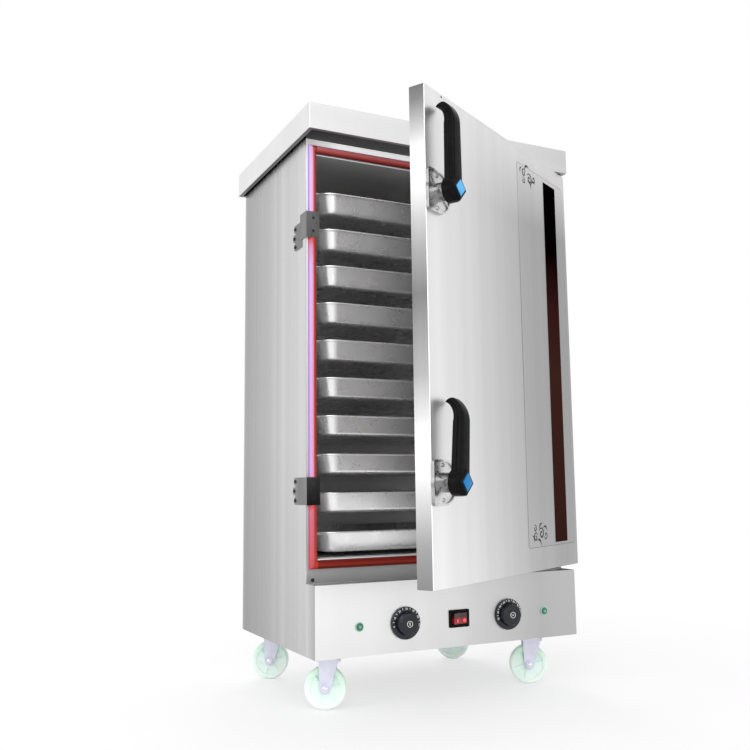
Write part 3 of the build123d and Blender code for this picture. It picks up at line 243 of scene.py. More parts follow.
class Shading:
    """Short calls for the shader nodes of one material or world."""

    def __init__(self, tree):
        self.tree = tree

    def add(self, kind, inputs=(), **settings):
        made = self.tree.nodes.new("ShaderNode" + kind)
        for key, value in settings.items():
            setattr(made, key, value)
        for key, value in inputs:
            self.feed(made.inputs[key], value)
        return made

    def feed(self, socket, value):
        if isinstance(value, bpy.types.NodeSocket):
            self.tree.links.new(value, socket)
        else:
            socket.default_value = value

    def remap(self, value, low, high, out_low=0.0, out_high=1.0):
        made = self.add("MapRange", [(0, value), (1, low), (2, high), (3, out_low), (4, out_high)])
        return made.outputs[0]

    def math(self, operation, first, second=0.0):
        return self.add("Math", [(0, first), (1, second)], operation=operation).outputs[0]

    def dot(self, vector, direction):
        made = self.add("VectorMath", [(0, vector), (1, direction)], operation="DOT_PRODUCT")
        return made.outputs["Value"]

    def mix(self, factor, first, second, blend="MIX"):
        made = self.add("Mix", [(0, factor), (6, first), (7, second)], data_type="RGBA",
                        blend_type=blend)
        return made.outputs[2]

    def ramp(self, value, stops):
        made = self.add("ValToRGB", [(0, value)])
        elements = made.color_ramp.elements
        while len(elements) < len(stops):
            elements.new(0.5)
        for element, (position, colour) in zip(elements, stops):
            element.position = position
            element.color = colour
        return made.outputs[0]

    def levels(self, value, stops):
        """Grey levels along a value."""
        return self.ramp(value, [(position, grey(level)) for position, level in stops])

    def seen_directly(self):
        """1 for rays that show the background: camera, glossy and transmitted ones."""
        rays = self.add("LightPath").outputs
        seen = self.math("MAXIMUM", rays["Is Camera Ray"], rays["Is Glossy Ray"])
        return self.math("MAXIMUM", seen, rays["Is Transmission Ray"])


class Finish(Shading):
    """One procedural material."""

    def __init__(self, name, **sockets):
        self.material = bpy.data.materials.new(name)
        self.material.use_nodes = True
        super().__init__(self.material.node_tree)
        self.shader = self.tree.nodes["Principled BSDF"]
        for key, value in sockets.items():
            self.put(key.replace("_", " ").title().replace("Ior", "IOR"), value)
        coordinates = self.add("TexCoord")
        self.place = coordinates.outputs["Object"]
        self.normal = coordinates.outputs["Normal"]

    def put(self, socket, value):
        self.feed(self.shader.inputs[socket], value)

    def noise(self, scale, stretch=(1, 1, 1), detail=2.0):
        mapped = self.add("Mapping", [("Vector", self.place), ("Scale", stretch)])
        made = self.add("TexNoise", [("Vector", mapped.outputs[0]), ("Scale", scale),
                                     ("Detail", detail)])
        return made.outputs[0]

    def axis(self, letter):
        return self.add("SeparateXYZ", [(0, self.place)]).outputs["XYZ".index(letter)]

    def along(self, direction, start, end):
        """0 to 1 along a direction, between two distances from the origin."""
        return self.remap(self.dot(self.place, direction), start, end)

    def facing(self, direction):
        """1 where the surface faces a direction of the rest frame, 0 elsewhere."""
        return self.remap(self.dot(self.normal, direction), *FACING)

    def bump(self, height, strength, distance):
        made = self.add("Bump", [("Height", height), ("Strength", strength),
                                 ("Distance", distance)])
        self.put("Normal", made.outputs[0])

    def colour(self, value):
        self.base = value
        self.put("Base Color", value)

    def tint(self, value, stops, share=1.0):
        """Multiply the colour by grey levels along a value."""
        self.colour(self.mix(share, self.base, self.levels(value, stops), "MULTIPLY"))

    def roughness(self, pattern, low, high):
        """Between two values over the usual range of a noise."""
        self.put("Roughness", self.remap(pattern, *NOISE_RANGE, low, high))


def grey(level, warmth=0.0):
    return (level + warmth, level, level - warmth, 1.0)


# Directions, and how far a surface turns towards one before it counts as facing it
UP = (0, 0, 1)
RIGHT = (1, 0, 0)
LEFT = (-1, 0, 0)
FRONT = (0, -1, 0)
BACK = (0, 1, 0)
DOWN = (0, 0, -1)
FACING = (0.75, 0.95)

# Textures: usual range of a noise, and pores of moulded surfaces
NOISE_RANGE = (0.3, 0.7)
PORES = 1400
PORE_DEPTH = 0.2 * MM

# Brushed sheet: stretch of its grain, scale of its lines and streaks, share of each in the shade
UPRIGHT = (1.0, 1.0, 0.003)
ALONG_X = (0.003, 1.0, 1.0)
FINE_LINES = 900
STREAKS = 130
GRAIN_SHARES = (0.12, 0.13, 0.75)
GRAIN_DEPTH = 0.2 * MM


def steel(name, dark, light, rough=(0.24, 0.36), grain=UPRIGHT, band=9.0, warmth=0.0, **sockets):
    """Brushed sheet: fine lines, streaks and broad soft bands along the grain."""
    sockets.setdefault("metallic", 1.0)
    finish = Finish(name, **sockets)
    fine, streak, broad = (finish.noise(scale, grain) for scale in (FINE_LINES, STREAKS, band))
    shade = 0.0
    for pattern, share in zip((fine, streak, broad), GRAIN_SHARES):
        shade = finish.math("ADD", shade, finish.math("MULTIPLY", pattern, share))
    finish.colour(finish.ramp(shade, [(0.3, grey(dark, warmth)), (0.7, grey(light, warmth))]))
    finish.roughness(streak, *rough)
    finish.bump(fine, 0.03, GRAIN_DEPTH)
    return finish


def cover_steel():
    """Pale sheet with painted shade: across the front, on the underside, near black inside the cap."""
    finish = steel("cover_steel", 0.80, 0.86, rough=(0.3, 0.42), grain=ALONG_X)
    skin = 0.5 * MM
    inside = finish.math("LESS_THAN", finish.axis("Z"), cover_high.z - skin)
    for i, letter in enumerate("XY"):
        for operation, edge in (("GREATER_THAN", cover_low[i] + skin),
                                ("LESS_THAN", cover_high[i] - skin)):
            side = finish.math(operation, finish.axis(letter), edge)
            inside = finish.math("MULTIPLY", inside, side)
    above_lip = finish.math("GREATER_THAN", finish.axis("Z"), cover_low.z + skin)
    across = finish.along(RIGHT, cover_low.x, cover_high.x)
    # Painted shade: darker across the front towards the right, and dark on the underside
    finish.tint(across, [(0.0, 0.88), (0.4, 0.84), (0.8, 0.8), (1.0, 0.74)], finish.facing(FRONT))
    finish.tint(across, [(0.0, 0.12), (0.3, 0.3)], finish.facing(DOWN))
    # Painted shade: the cap's hollow is made near black and not metallic
    finish.colour(finish.mix(finish.math("MULTIPLY", inside, above_lip), finish.base, grey(0.035)))
    finish.put("Metallic", finish.remap(inside, 0.0, 1.0, 1.0, 0.0))
    return finish


def wall_steel():
    """Side walls with painted shade towards the back and bottom, and a painted highlight on the back
    edge.
    """
    finish = steel("wall_steel", 0.80, 0.94, band=34.0)
    low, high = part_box("side_panels")
    # Painted shade towards the back, with a painted highlight on the back edge, then painted shade
    # towards the bottom
    finish.tint(finish.along(BACK, low.y, high.y),
                [(0.0, 0.80), (0.25, 0.70), (0.6, 0.54), (0.97, 0.40), (0.985, 0.44), (0.995, 0.75)])
    finish.tint(finish.along(UP, low.z, high.z), [(0.0, 0.82), (0.4, 1.0), (1.0, 1.0)])
    return finish


def door_steel(name, dark, light):
    """Door pan with painted shade towards its hinges and painted reflection bands down its folded
    edge.
    """
    finish = steel(name, dark, light, band=26.0, rough=(0.34, 0.44))
    middle = door_swing @ Vector((door_left, door_face, 0))
    start = door_across.dot(middle)
    across = finish.along(door_across, start, start + door_right - door_left)
    low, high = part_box("door_skin")
    height = finish.along(UP, low.z, high.z)
    # Painted shade across the face towards the hinges, weaker near the top
    share = finish.math("MULTIPLY", finish.facing(door_outward),
                        finish.remap(height, 0.82, 0.98, 1.0, 0.3))
    finish.tint(across, [(0.0, 1.0), (0.25, 0.84), (0.6, 0.55), (0.9, 0.42), (1.0, 0.46)], share)
    # Painted reflection bands down the folded edge
    finish.tint(height, [(0.0, 0.30), (0.08, 0.40), (0.18, 0.70), (0.26, 0.95), (0.33, 0.62),
                         (0.41, 0.36), (0.57, 0.18), (0.66, 0.32), (0.72, 0.47), (0.79, 0.75),
                         (0.85, 0.95), (0.9, 0.62), (0.97, 0.26), (1.0, 0.2)],
                finish.facing(-door_across))
    return finish


def panel_steel():
    """Control panel box, with painted shade towards its right and on the front of its left end."""
    finish = steel("panel_steel", 0.70, 0.74, band=12.0, rough=(0.34, 0.44))
    low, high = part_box("control_panel")
    # Painted shade towards the right, and on the left end towards the front
    finish.tint(finish.along(RIGHT, low.x, high.x),
                [(0.0, 1.0), (0.5, 0.86), (0.85, 0.62), (1.0, 0.66)])
    finish.tint(finish.along(BACK, low.y, high.y), [(0.0, 0.62), (1.0, 0.9)], finish.facing(LEFT))
    return finish


def frame_steel():
    """Front frame with painted shade low down and inside the cap, and a painted glow over the door
    opening.
    """
    finish = steel("frame_steel", 0.88, 0.94, band=7.0, metallic=0.0, rough=(0.4, 0.5),
                   emission_strength=1.0)
    low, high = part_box("front_frame")
    # Painted shade towards the bottom
    finish.tint(finish.along(UP, low.z, high.z),
                [(0.0, 0.30), (0.03, 0.42), (0.06, 0.4), (0.3, 0.7), (1.0, 1.0)])
    z = finish.axis("Z")
    # Painted shade inside the cap
    hidden = finish.math("GREATER_THAN", z, cover_low.z)
    across = finish.along(RIGHT, low.x, high.x)
    inside = finish.levels(across, [(0.0, 0.13), (0.45, 0.3)])
    finish.colour(finish.mix(hidden, finish.base, inside))
    # Painted glow: the strip between the door's top and the cap gives off light, dimmer at its left
    # end
    lap = 2 * MM
    over_door = finish.math("GREATER_THAN", z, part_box("door_gasket")[1].z - lap)
    painted_glow_band = finish.math("SUBTRACT", over_door, hidden)
    light = finish.levels(across, [(0.0, 0.0), (0.12, 0.48)])
    finish.put("Emission Color", finish.mix(painted_glow_band, grey(0.0), light))
    return finish


def chamber_steel():
    """Liner dulled by steam, with a band of painted shade just under its ceiling."""
    finish = Finish("chamber_steel", metallic=0.4)
    cloud = finish.noise(9, (0.4, 0.4, 2.2), 4.0)
    finish.colour(finish.levels(cloud, [(0.3, 0.74), (0.7, 0.92)]))
    # Painted shade band just under the ceiling
    finish.tint(finish.along(UP, chamber_low.z, chamber_high.z),
                [(0.0, 1.0), (0.88, 1.0), (0.91, 0.5), (1.0, 0.7)])
    finish.roughness(cloud, 0.28, 0.45)
    return finish


def tray_steel():
    """Polished pressing, clouded by steam and hard water, with painted shade towards the chamber's
    middle.
    """
    finish = Finish("tray_steel", metallic=0.85)
    finish.colour(finish.levels(finish.noise(4), [(0.3, 0.94), (0.7, 0.98)]))
    # Painted shade on the fronts towards the chamber's middle
    finish.tint(finish.along(RIGHT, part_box("tray_01")[0].x, 0.0),
                [(0.0, 1.0), (0.45, 0.95), (0.8, 0.6), (1.0, 0.4)], finish.facing(FRONT))
    finish.roughness(finish.noise(30), 0.24, 0.34)
    return finish


def rubber_red():
    """Moulded silicone with a satin skin, a painted sheen and shade on the free side and top, darker
    below.
    """
    finish = Finish("silicone_red", roughness=0.32, specular_ior_level=0.25)
    cloud = finish.noise(30, detail=4.0)
    plain = finish.ramp(cloud, [(0.35, (0.50, 0.035, 0.018, 1)), (0.65, (0.58, 0.05, 0.028, 1))])
    low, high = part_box("door_gasket")
    width = 19 * MM
    x, z = finish.axis("X"), finish.axis("Z")
    # Painted sheen: lavender over the outer part of the left upright, with painted shade at its inner
    # edge
    upright = finish.ramp(finish.remap(x, low.x, low.x + width),
                          [(0.0, (0.30, 0.22, 0.60, 1)), (0.14, (0.70, 0.42, 0.80, 1)),
                           (0.42, (0.72, 0.40, 0.62, 1)), (0.56, (0.62, 0.09, 0.06, 1)),
                           (0.86, (0.44, 0.035, 0.025, 1)), (1.0, (0.16, 0.015, 0.015, 1))])
    # Share of the painted sheen up the upright
    painted_sheen_share = finish.levels(finish.remap(z, low.z, high.z),
                             [(0.0, 0.1), (0.13, 0.3), (0.145, 0.0), (0.215, 0.85), (0.7, 0.95),
                              (0.745, 0.6), (0.77, 0.0), (0.83, 1.0), (1.0, 1.0)])
    on_left = finish.math("LESS_THAN", x, low.x + width)
    colour = finish.mix(finish.math("MULTIPLY", on_left, painted_sheen_share), plain, upright)
    # Painted shadow along the lower edge of the top, painted lavender sheen along its crest
    over = finish.ramp(finish.remap(z, high.z - width, high.z),
                       [(0.0, (0.12, 0.01, 0.01, 1)), (0.25, (0.42, 0.05, 0.05, 1)),
                        (0.6, (0.66, 0.17, 0.16, 1)), (0.85, (0.66, 0.30, 0.42, 1)),
                        (1.0, (0.50, 0.32, 0.60, 1))])
    on_top = finish.math("GREATER_THAN", z, high.z - width)
    inner = finish.math("GREATER_THAN", x, low.x + width)
    colour = finish.mix(finish.math("MULTIPLY", on_top, inner), colour, over)
    # Darker red along the bottom
    under = finish.ramp(finish.remap(z, low.z, low.z + width),
                        [(0.0, (0.16, 0.008, 0.004, 1)), (0.5, (0.24, 0.016, 0.007, 1)),
                         (1.0, (0.13, 0.006, 0.004, 1))])
    below = finish.math("LESS_THAN", z, low.z + width)
    finish.colour(finish.mix(finish.math("MULTIPLY", below, inner), colour, under))
    finish.bump(finish.noise(900), 0.06, PORE_DEPTH)
    return finish


def base_chrome():
    """Cast latch bases, with painted shade darkening their sides against their faces."""
    finish = steel("base_chrome", 0.62, 0.88, rough=(0.2, 0.32), grain=(1, 1, 1), band=60.0)
    # Painted shade on the sides
    finish.tint(finish.facing(door_outward), [(0.0, 0.42), (1.0, 1.0)])
    finish.bump(finish.noise(160), 0.12, 0.4 * MM)
    return finish


def keeper_steel():
    """Plated keepers, with painted shade darkening the leaves that face the front, more lower down."""
    finish = steel("keeper_steel", 0.17, 0.26, rough=(0.25, 0.4), grain=(1, 1, 0.2), band=30.0)
    low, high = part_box("keepers")
    # Painted shade on the front-facing leaves, darker lower down
    finish.tint(finish.along(UP, low.z, high.z),
                [(0.0, 0.09), (0.09, 0.24), (0.9, 0.7), (1.0, 0.85)], finish.facing(FRONT))
    return finish


def moulded(name, dark, light, rough=(0.25, 0.4), **sockets):
    """Moulded or painted surface with a slight texture."""
    finish = Finish(name, **sockets)
    cloud = finish.noise(40, detail=4.0)
    finish.colour(finish.ramp(cloud, [(0.35, dark), (0.65, light)]))
    finish.roughness(cloud, *rough)
    finish.bump(finish.noise(PORES), 0.1, PORE_DEPTH)
    return finish


def strip_glass():
    """Dark printed glass, black at the top and brown red towards the bottom."""
    finish = Finish("strip_glass", ior=1.3, specular_ior_level=0.0)
    low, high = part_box("decor_strip")
    finish.colour(finish.ramp(finish.along(UP, low.z, high.z),
                              [(0.0, (0.030, 0.010, 0.008, 1)), (0.45, (0.036, 0.013, 0.010, 1)),
                               (0.62, (0.030, 0.008, 0.007, 1)),
                               (0.8, (0.001, 0.0004, 0.0004, 1))]))
    finish.roughness(finish.noise(60), 0.12, 0.22)
    finish.bump(finish.noise(400), 0.02, PORE_DEPTH)
    return finish


def lamp_green():
    """Signal lamp: dark green rim, paler towards the middle of the lens."""
    finish = Finish("lamp_green", coat_weight=0.5, coat_roughness=0.1)
    low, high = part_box("pilot_lamps")
    radius = (high.z - low.z) / 2
    dz = finish.math("SUBTRACT", finish.axis("Z"), low.z + radius)
    reaches = []
    for x in (low.x + radius, high.x - radius):
        dx = finish.math("SUBTRACT", finish.axis("X"), x)
        squares = finish.math("ADD", finish.math("MULTIPLY", dx, dx),
                              finish.math("MULTIPLY", dz, dz))
        reaches.append(finish.math("SQRT", squares))
    share = finish.math("DIVIDE", finish.math("MINIMUM", *reaches), radius)
    finish.colour(finish.ramp(share, [(0.0, (0.24, 0.48, 0.38, 1)), (0.2, (0.14, 0.34, 0.25, 1)),
                                      (0.4, (0.03, 0.16, 0.10, 1)), (0.75, (0.02, 0.13, 0.08, 1)),
                                      (0.85, (0.22, 0.50, 0.38, 1)), (1.0, (0.36, 0.6, 0.5, 1))]))
    finish.roughness(finish.noise(500), 0.18, 0.3)
    return finish


def rocker_red():
    """Translucent red rocker, lit from inside over its lower half."""
    finish = Finish("rocker_red", coat_weight=0.4, coat_roughness=0.1, emission_strength=1.0)
    low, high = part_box("power_rocker")
    glow = finish.ramp(finish.along(UP, low.z, high.z),
                       [(0.0, (0.03, 0.0, 0.001, 1)), (0.2, (0.14, 0.003, 0.006, 1)),
                        (0.45, (0.12, 0.003, 0.006, 1)), (0.62, (0.02, 0.001, 0.002, 1)),
                        (1.0, (0.008, 0.004, 0.005, 1))])
    finish.colour(glow)
    finish.put("Emission Color", glow)
    finish.roughness(finish.noise(700), 0.2, 0.3)
    return finish


def wheel_mint():
    """Translucent mint wheel, greener towards its top."""
    finish = Finish("wheel_mint", subsurface_weight=0.3, subsurface_scale=0.01, ior=1.3)
    cloud = finish.noise(35, detail=3.0)
    pale = finish.ramp(cloud, [(0.3, (0.84, 0.98, 0.90, 1)), (0.7, (0.90, 1.0, 0.95, 1))])
    height = finish.along(UP, 0.0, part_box("front_left_wheel")[1].z)
    green = finish.levels(height, [(0.0, 0.0), (0.5, 0.1), (1.0, 0.9)])
    finish.colour(finish.mix(green, pale, (0.58, 0.86, 0.68, 1)))
    finish.roughness(cloud, 0.3, 0.42)
    finish.bump(finish.noise(800), 0.04, PORE_DEPTH)
    return finish


def fibre(name, dark, light):
    """Coarse board or foam."""
    finish = Finish(name, roughness=0.9)
    strands = finish.noise(400, detail=6.0)
    finish.colour(finish.ramp(strands, [(0.35, dark), (0.65, light)]))
    finish.bump(strands, 0.6, 1.0 * MM)
    return finish


FINISHES = {
    "cover": cover_steel(),
    "wall": wall_steel(),
    "door": door_steel("door_steel", 0.90, 0.98),
    "liner": steel("liner_steel", 0.58, 0.70, band=12.0, rough=(0.34, 0.46)),
    "film": door_steel("film_steel", 0.86, 0.93),
    "film_line": door_steel("film_line_steel", 0.40, 0.48),
    "panel": panel_steel(),
    "sheet": steel("sheet_steel", 0.74, 0.84),
    "frame": frame_steel(),
    "chamber": chamber_steel(),
    "rail": steel("rail_steel", 0.85, 0.95, rough=(0.3, 0.5), grain=(1, 0.02, 1), metallic=0.4),
    "sill": steel("sill_steel", 0.9, 0.97, rough=(0.3, 0.4), grain=ALONG_X, metallic=0.3),
    "tray": tray_steel(),
    "galvanised": moulded("galvanised", grey(0.42), grey(0.58), metallic=0.9, rough=(0.4, 0.6)),
    "silicone": rubber_red(),
    "wool": fibre("mineral_wool", (0.45, 0.38, 0.22, 1), (0.62, 0.55, 0.38, 1)),
    "foam": fibre("foam", (0.70, 0.62, 0.38, 1), (0.82, 0.76, 0.54, 1)),
    "heater": moulded("heater_steel", grey(0.16), grey(0.30), metallic=1.0, rough=(0.35, 0.55)),
    "brass": moulded("brass", (0.55, 0.38, 0.14, 1), (0.68, 0.50, 0.22, 1), metallic=1.0),
    "float": moulded("float_plastic", (0.55, 0.55, 0.58, 1), (0.66, 0.66, 0.70, 1)),
    "handle_red": moulded("handle_red", (0.42, 0.02, 0.015, 1), (0.52, 0.035, 0.025, 1)),
    "black": moulded("black_plastic", grey(0.003), grey(0.006), rough=(0.2, 0.3),
                     specular_ior_level=0.06),
    "dial": moulded("dial_black", (0.004, 0.005, 0.010, 1), (0.007, 0.008, 0.014, 1),
                    rough=(0.12, 0.18), specular_ior_level=0.45),
    "rocker": rocker_red(),
    "lamp": lamp_green(),
    "glass": strip_glass(),
    "fixture": steel("fixture_steel", 0.46, 0.60, rough=(0.28, 0.45), grain=(1, 1, 0.2),
                     band=30.0, warmth=0.008),
    "keeper": keeper_steel(),
    "screw": moulded("screw_dark", grey(0.02), grey(0.05), metallic=0.8, rough=(0.25, 0.4)),
    "screw_light": moulded("screw_light", grey(0.40), grey(0.60), metallic=1.0, rough=(0.2, 0.3)),
    "base": base_chrome(),
    "chrome": steel("cast_chrome", 0.72, 0.88, rough=(0.14, 0.26), grain=(1, 1, 1), band=25.0),
    "caster": moulded("caster_zinc", (0.70, 0.70, 0.84, 1), (0.78, 0.78, 0.91, 1),
                      rough=(0.3, 0.42), ior=1.35),
    "plate": moulded("caster_plate", grey(0.80), grey(0.92), metallic=0.3, rough=(0.3, 0.45)),
    "wheel": wheel_mint(),
    "badge": moulded("badge_blue", (0.0, 0.16, 0.42, 1), (0.005, 0.20, 0.50, 1),
                     rough=(0.2, 0.3), ior=1.3),
    "badge_rim": moulded("badge_rim", (0.0, 0.045, 0.11, 1), (0.002, 0.06, 0.14, 1),
                         rough=(0.2, 0.3), specular_ior_level=0.3),
    "badge_light": moulded("badge_light_blue", (0.06, 0.36, 0.70, 1), (0.10, 0.43, 0.78, 1),
                           rough=(0.2, 0.3), ior=1.3),
    "print_white": moulded("print_white", grey(0.82), grey(0.92), rough=(0.4, 0.5)),
    "print_red": moulded("print_red", (0.8, 0.10, 0.10, 1), (0.9, 0.16, 0.16, 1),
                         rough=(0.4, 0.5), emission_strength=1.2,
                         emission_color=(1.0, 0.08, 0.08, 1)),
    "print_grey": moulded("print_grey", grey(0.03), grey(0.06), rough=(0.4, 0.5), ior=1.2),
}

NODE_FINISHES = {
    "cover": ["top_cover"],
    "wall": ["side_panels"],
    "door": ["door_skin"],
    "liner": ["door_liner"],
    "panel": ["control_panel"],
    "sheet": ["back_panel", "bottom_panel"],
    "frame": ["front_frame"],
    "chamber": ["inner_chamber", "steam_plate", "water_tank"],
    "rail": ["tray_rails"],
    "tray": [f"tray_{i:02d}" for i in range(1, 11)],
    "galvanised": ["base_frame"],
    "plate": ["caster_plates"],
    "silicone": ["door_gasket"],
    "wool": ["insulation"],
    "foam": ["door_insulation"],
    "heater": ["heating_elements"],
    "brass": ["float_valve", "drain_valve"],
    "float": ["float_arm"],
    "handle_red": ["drain_lever"],
    "black": ["control_units", "rocker_housing", "cable_gland", "contactor", "upper_lever",
              "lower_lever"],
    "dial": ["timer_knob", "thermostat_knob"],
    "rocker": ["power_rocker"],
    "lamp": ["pilot_lamps"],
    "glass": ["decor_strip"],
    "fixture": ["cabinet_hinges", "door_hinges", "steam_vent"],
    "keeper": ["keepers"],
    "screw": ["cabinet_screws"],
    "screw_light": ["door_screws"],
    "base": ["latch_bases"],
    "chrome": ["upper_latch_cam", "lower_latch_cam"],
    "caster": [corner + "_fork" for corner in CORNERS],
    "wheel": [corner + "_wheel" for corner in CORNERS],
}


def finish_nodes():
    """Give every node of the frame its finish."""
    for key, names in NODE_FINISHES.items():
        for name in names:
            slots = nodes[name].data.materials
            slots.clear()
            slots.append(FINISHES[key].material)


# Mesh helpers

def new_object(name, data):
    """Object of a mesh, curve, lamp or camera, linked to the scene."""
    made = bpy.data.objects.new(name, data)
    bpy.context.scene.collection.objects.link(made)
    return made


def add_piece(name, mesh, finish, body, place=None, smooth=True):
    """Make an object of a mesh, give it its finish and hang it on a body."""
    if place is not None:
        mesh.transform(place)
    mesh.materials.append(FINISHES[finish].material)
    for polygon in mesh.polygons:
        polygon.use_smooth = smooth
    piece = new_object(name, mesh)
    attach(piece, body)
    return piece


def from_bmesh(name, shape, sharp=180):
    """Turn a bmesh into a mesh with outward normals, and edges sharp beyond an angle in degrees."""
    bmesh.ops.recalc_face_normals(shape, faces=shape.faces)
    for edge in shape.edges:
        if len(edge.link_faces) == 2 and edge.calc_face_angle() > math.radians(sharp):
            edge.smooth = False
    mesh = bpy.data.meshes.new(name)
    shape.to_mesh(mesh)
    shape.free()
    return mesh


def circle(radius, steps):
    """Points round a circle."""
    turns = [2 * math.pi * i / steps for i in range(steps)]
    return [(radius * math.cos(turn), radius * math.sin(turn)) for turn in turns]


def slab(name, outline, bottom, top, bevel=0.0):
    """Plate with a flat outline in X and Y, between two heights."""
    shape = bmesh.new()
    corners = [shape.verts.new((x, y, bottom)) for x, y in outline]
    base = shape.faces.new(corners)
    painted_glow_band = bmesh.ops.extrude_face_region(shape, geom=[base])["geom"]
    moved = [item for item in painted_glow_band if isinstance(item, bmesh.types.BMVert)]
    bmesh.ops.translate(shape, verts=moved, vec=(0, 0, top - bottom))
    if bevel:
        upper = [edge for edge in shape.edges
                 if all(abs(vert.co.z - top) < LEVEL for vert in edge.verts)]
        bmesh.ops.bevel(shape, geom=upper, offset=bevel, segments=3, affect="EDGES",
                        profile=0.5)
    return from_bmesh(name, shape, sharp=35)


def lathe(name, profile, steps=64, closed=True):
    """Turned piece round Z from points of radius and height; a zero radius closes it there."""
    shape = bmesh.new()
    rings = []
    for radius, height in profile:
        count = steps if radius else 1
        rings.append([shape.verts.new((x, y, height)) for x, y in circle(radius, count)])
    following = rings[1:] + rings[:1] if closed else rings[1:]
    for lower, upper in zip(rings, following):
        for i in range(steps):
            j = (i + 1) % steps
            corners = [lower[i % len(lower)], lower[j % len(lower)],
                       upper[j % len(upper)], upper[i % len(upper)]]
            distinct = list(dict.fromkeys(corners))
            if len(distinct) > 2:
                shape.faces.new(distinct)
    return from_bmesh(name, shape, sharp=40)


def join(name, meshes):
    """One mesh of several."""
    shape = bmesh.new()
    for mesh in meshes:
        shape.from_mesh(mesh)
        bpy.data.meshes.remove(mesh)
    joined = bpy.data.meshes.new(name)
    shape.to_mesh(joined)
    shape.free()
    return joined


def rounded_outline(x0, x1, y0, y1, corner):
    """Corner points of a rectangle with rounded corners."""
    points = []
    for quarter, (x, y) in enumerate(((x1 - corner, y1 - corner), (x0 + corner, y1 - corner),
                                      (x0 + corner, y0 + corner), (x1 - corner, y0 + corner))):
        for i in range(CORNER_STEPS + 1):
            turn = math.pi / 2 * (quarter + i / CORNER_STEPS)
            points.append((x + corner * math.cos(turn), y + corner * math.sin(turn)))
    return points


def rounded_square(half, corner):
    return rounded_outline(-half, half, -half, half, corner)


def arc_points(first, middle, last, steps):
    """Points on the arc through three points of a plane, without the first."""
    ax, ay = first
    bx, by = middle
    cx, cy = last
    d = 2 * (ax * (by - cy) + bx * (cy - ay) + cx * (ay - by))
    ux = ((ax * ax + ay * ay) * (by - cy) + (bx * bx + by * by) * (cy - ay)
          + (cx * cx + cy * cy) * (ay - by)) / d
    uy = ((ax * ax + ay * ay) * (cx - bx) + (bx * bx + by * by) * (ax - cx)
          + (cx * cx + cy * cy) * (bx - ax)) / d
    radius = math.hypot(ax - ux, ay - uy)
    start = math.atan2(ay - uy, ax - ux)
    half = (math.atan2(by - uy, bx - ux) - start + math.pi) % (2 * math.pi) - math.pi
    whole = (math.atan2(cy - uy, cx - ux) - start + math.pi) % (2 * math.pi) - math.pi
    if half * whole < 0:
        whole += 2 * math.pi if half > 0 else -2 * math.pi
    return [(ux + radius * math.cos(start + whole * i / steps),
             uy + radius * math.sin(start + whole * i / steps)) for i in range(1, steps + 1)]


# Latch levers

def grip_stations(length):
    """Front point, back point and half width of each section up the grip, in Z and Y."""
    def curl(point):
        return GRIP_FRONT - point[0], length - point[1]

    steps = CURL_STEPS + BEAK_STEPS
    straight = length - GRIP_CURL
    front = [(GRIP_FRONT, straight)]
    front += arc_points(front[-1], curl(CURL_SHOULDER), curl(CURL_CREST), CURL_STEPS)
    front += arc_points(front[-1], curl(CURL_BEAK), curl(CURL_POINT), BEAK_STEPS)
    back = [(GRIP_BACK, straight)]
    back += arc_points(back[-1], curl(CURL_HOLLOW), curl(CURL_UNDER), steps)
    stations = []
    for i in range(STRAIGHT_STEPS):
        share = i / STRAIGHT_STEPS
        y = GRIP_START + share * (straight - GRIP_START)
        half = GRIP_HALF_WIDTH + share * (GRIP_TOP_HALF_WIDTH - GRIP_HALF_WIDTH)
        stations.append(((GRIP_FRONT, y), (GRIP_BACK, y), half))
    for i in range(steps + 1):
        half = GRIP_TOP_HALF_WIDTH + (i / steps) ** 2 * (GRIP_TIP_HALF_WIDTH - GRIP_TOP_HALF_WIDTH)
        stations.append((front[i], back[i], half))
    return stations


def grip_section(half, reach):
    """Rounded rectangle, across and along, with a groove down both sides."""
    corner = min(GRIP_CORNER, GRIP_CORNER_LIMIT * reach)
    shrink = corner / GRIP_CORNER
    lip = GRIP_GROOVE_HALF * shrink
    bottom = half - GRIP_GROOVE * shrink
    outline = rounded_outline(-half, half, -reach, reach, corner)
    middle = len(outline) // 2
    left = [(-half, lip), (-bottom, 0.0), (-half, -lip)]
    right = [(half, -lip), (bottom, 0.0), (half, lip)]
    return outline[:middle] + left + outline[middle:] + right


def grip_mesh(name, length):
    """Moulded grip: rounded section, a shallow seam down each side, curled pointed end."""
    shape = bmesh.new()
    rings = []
    for front, back, half in grip_stations(length):
        middle = Vector((0, (front[1] + back[1]) / 2, (front[0] + back[0]) / 2))
        reach = Vector((0, (front[1] - back[1]) / 2, (front[0] - back[0]) / 2))
        rings.append([shape.verts.new(middle + reach.normalized() * along + Vector((across, 0, 0)))
                      for across, along in grip_section(half, reach.length)])
    around = len(rings[0])
    for lower, upper in zip(rings, rings[1:]):
        for i in range(around):
            j = (i + 1) % around
            shape.faces.new((lower[i], lower[j], upper[j], upper[i]))
    shape.faces.new(rings[0])
    shape.faces.new(rings[-1])
    return from_bmesh(name, shape, sharp=28)


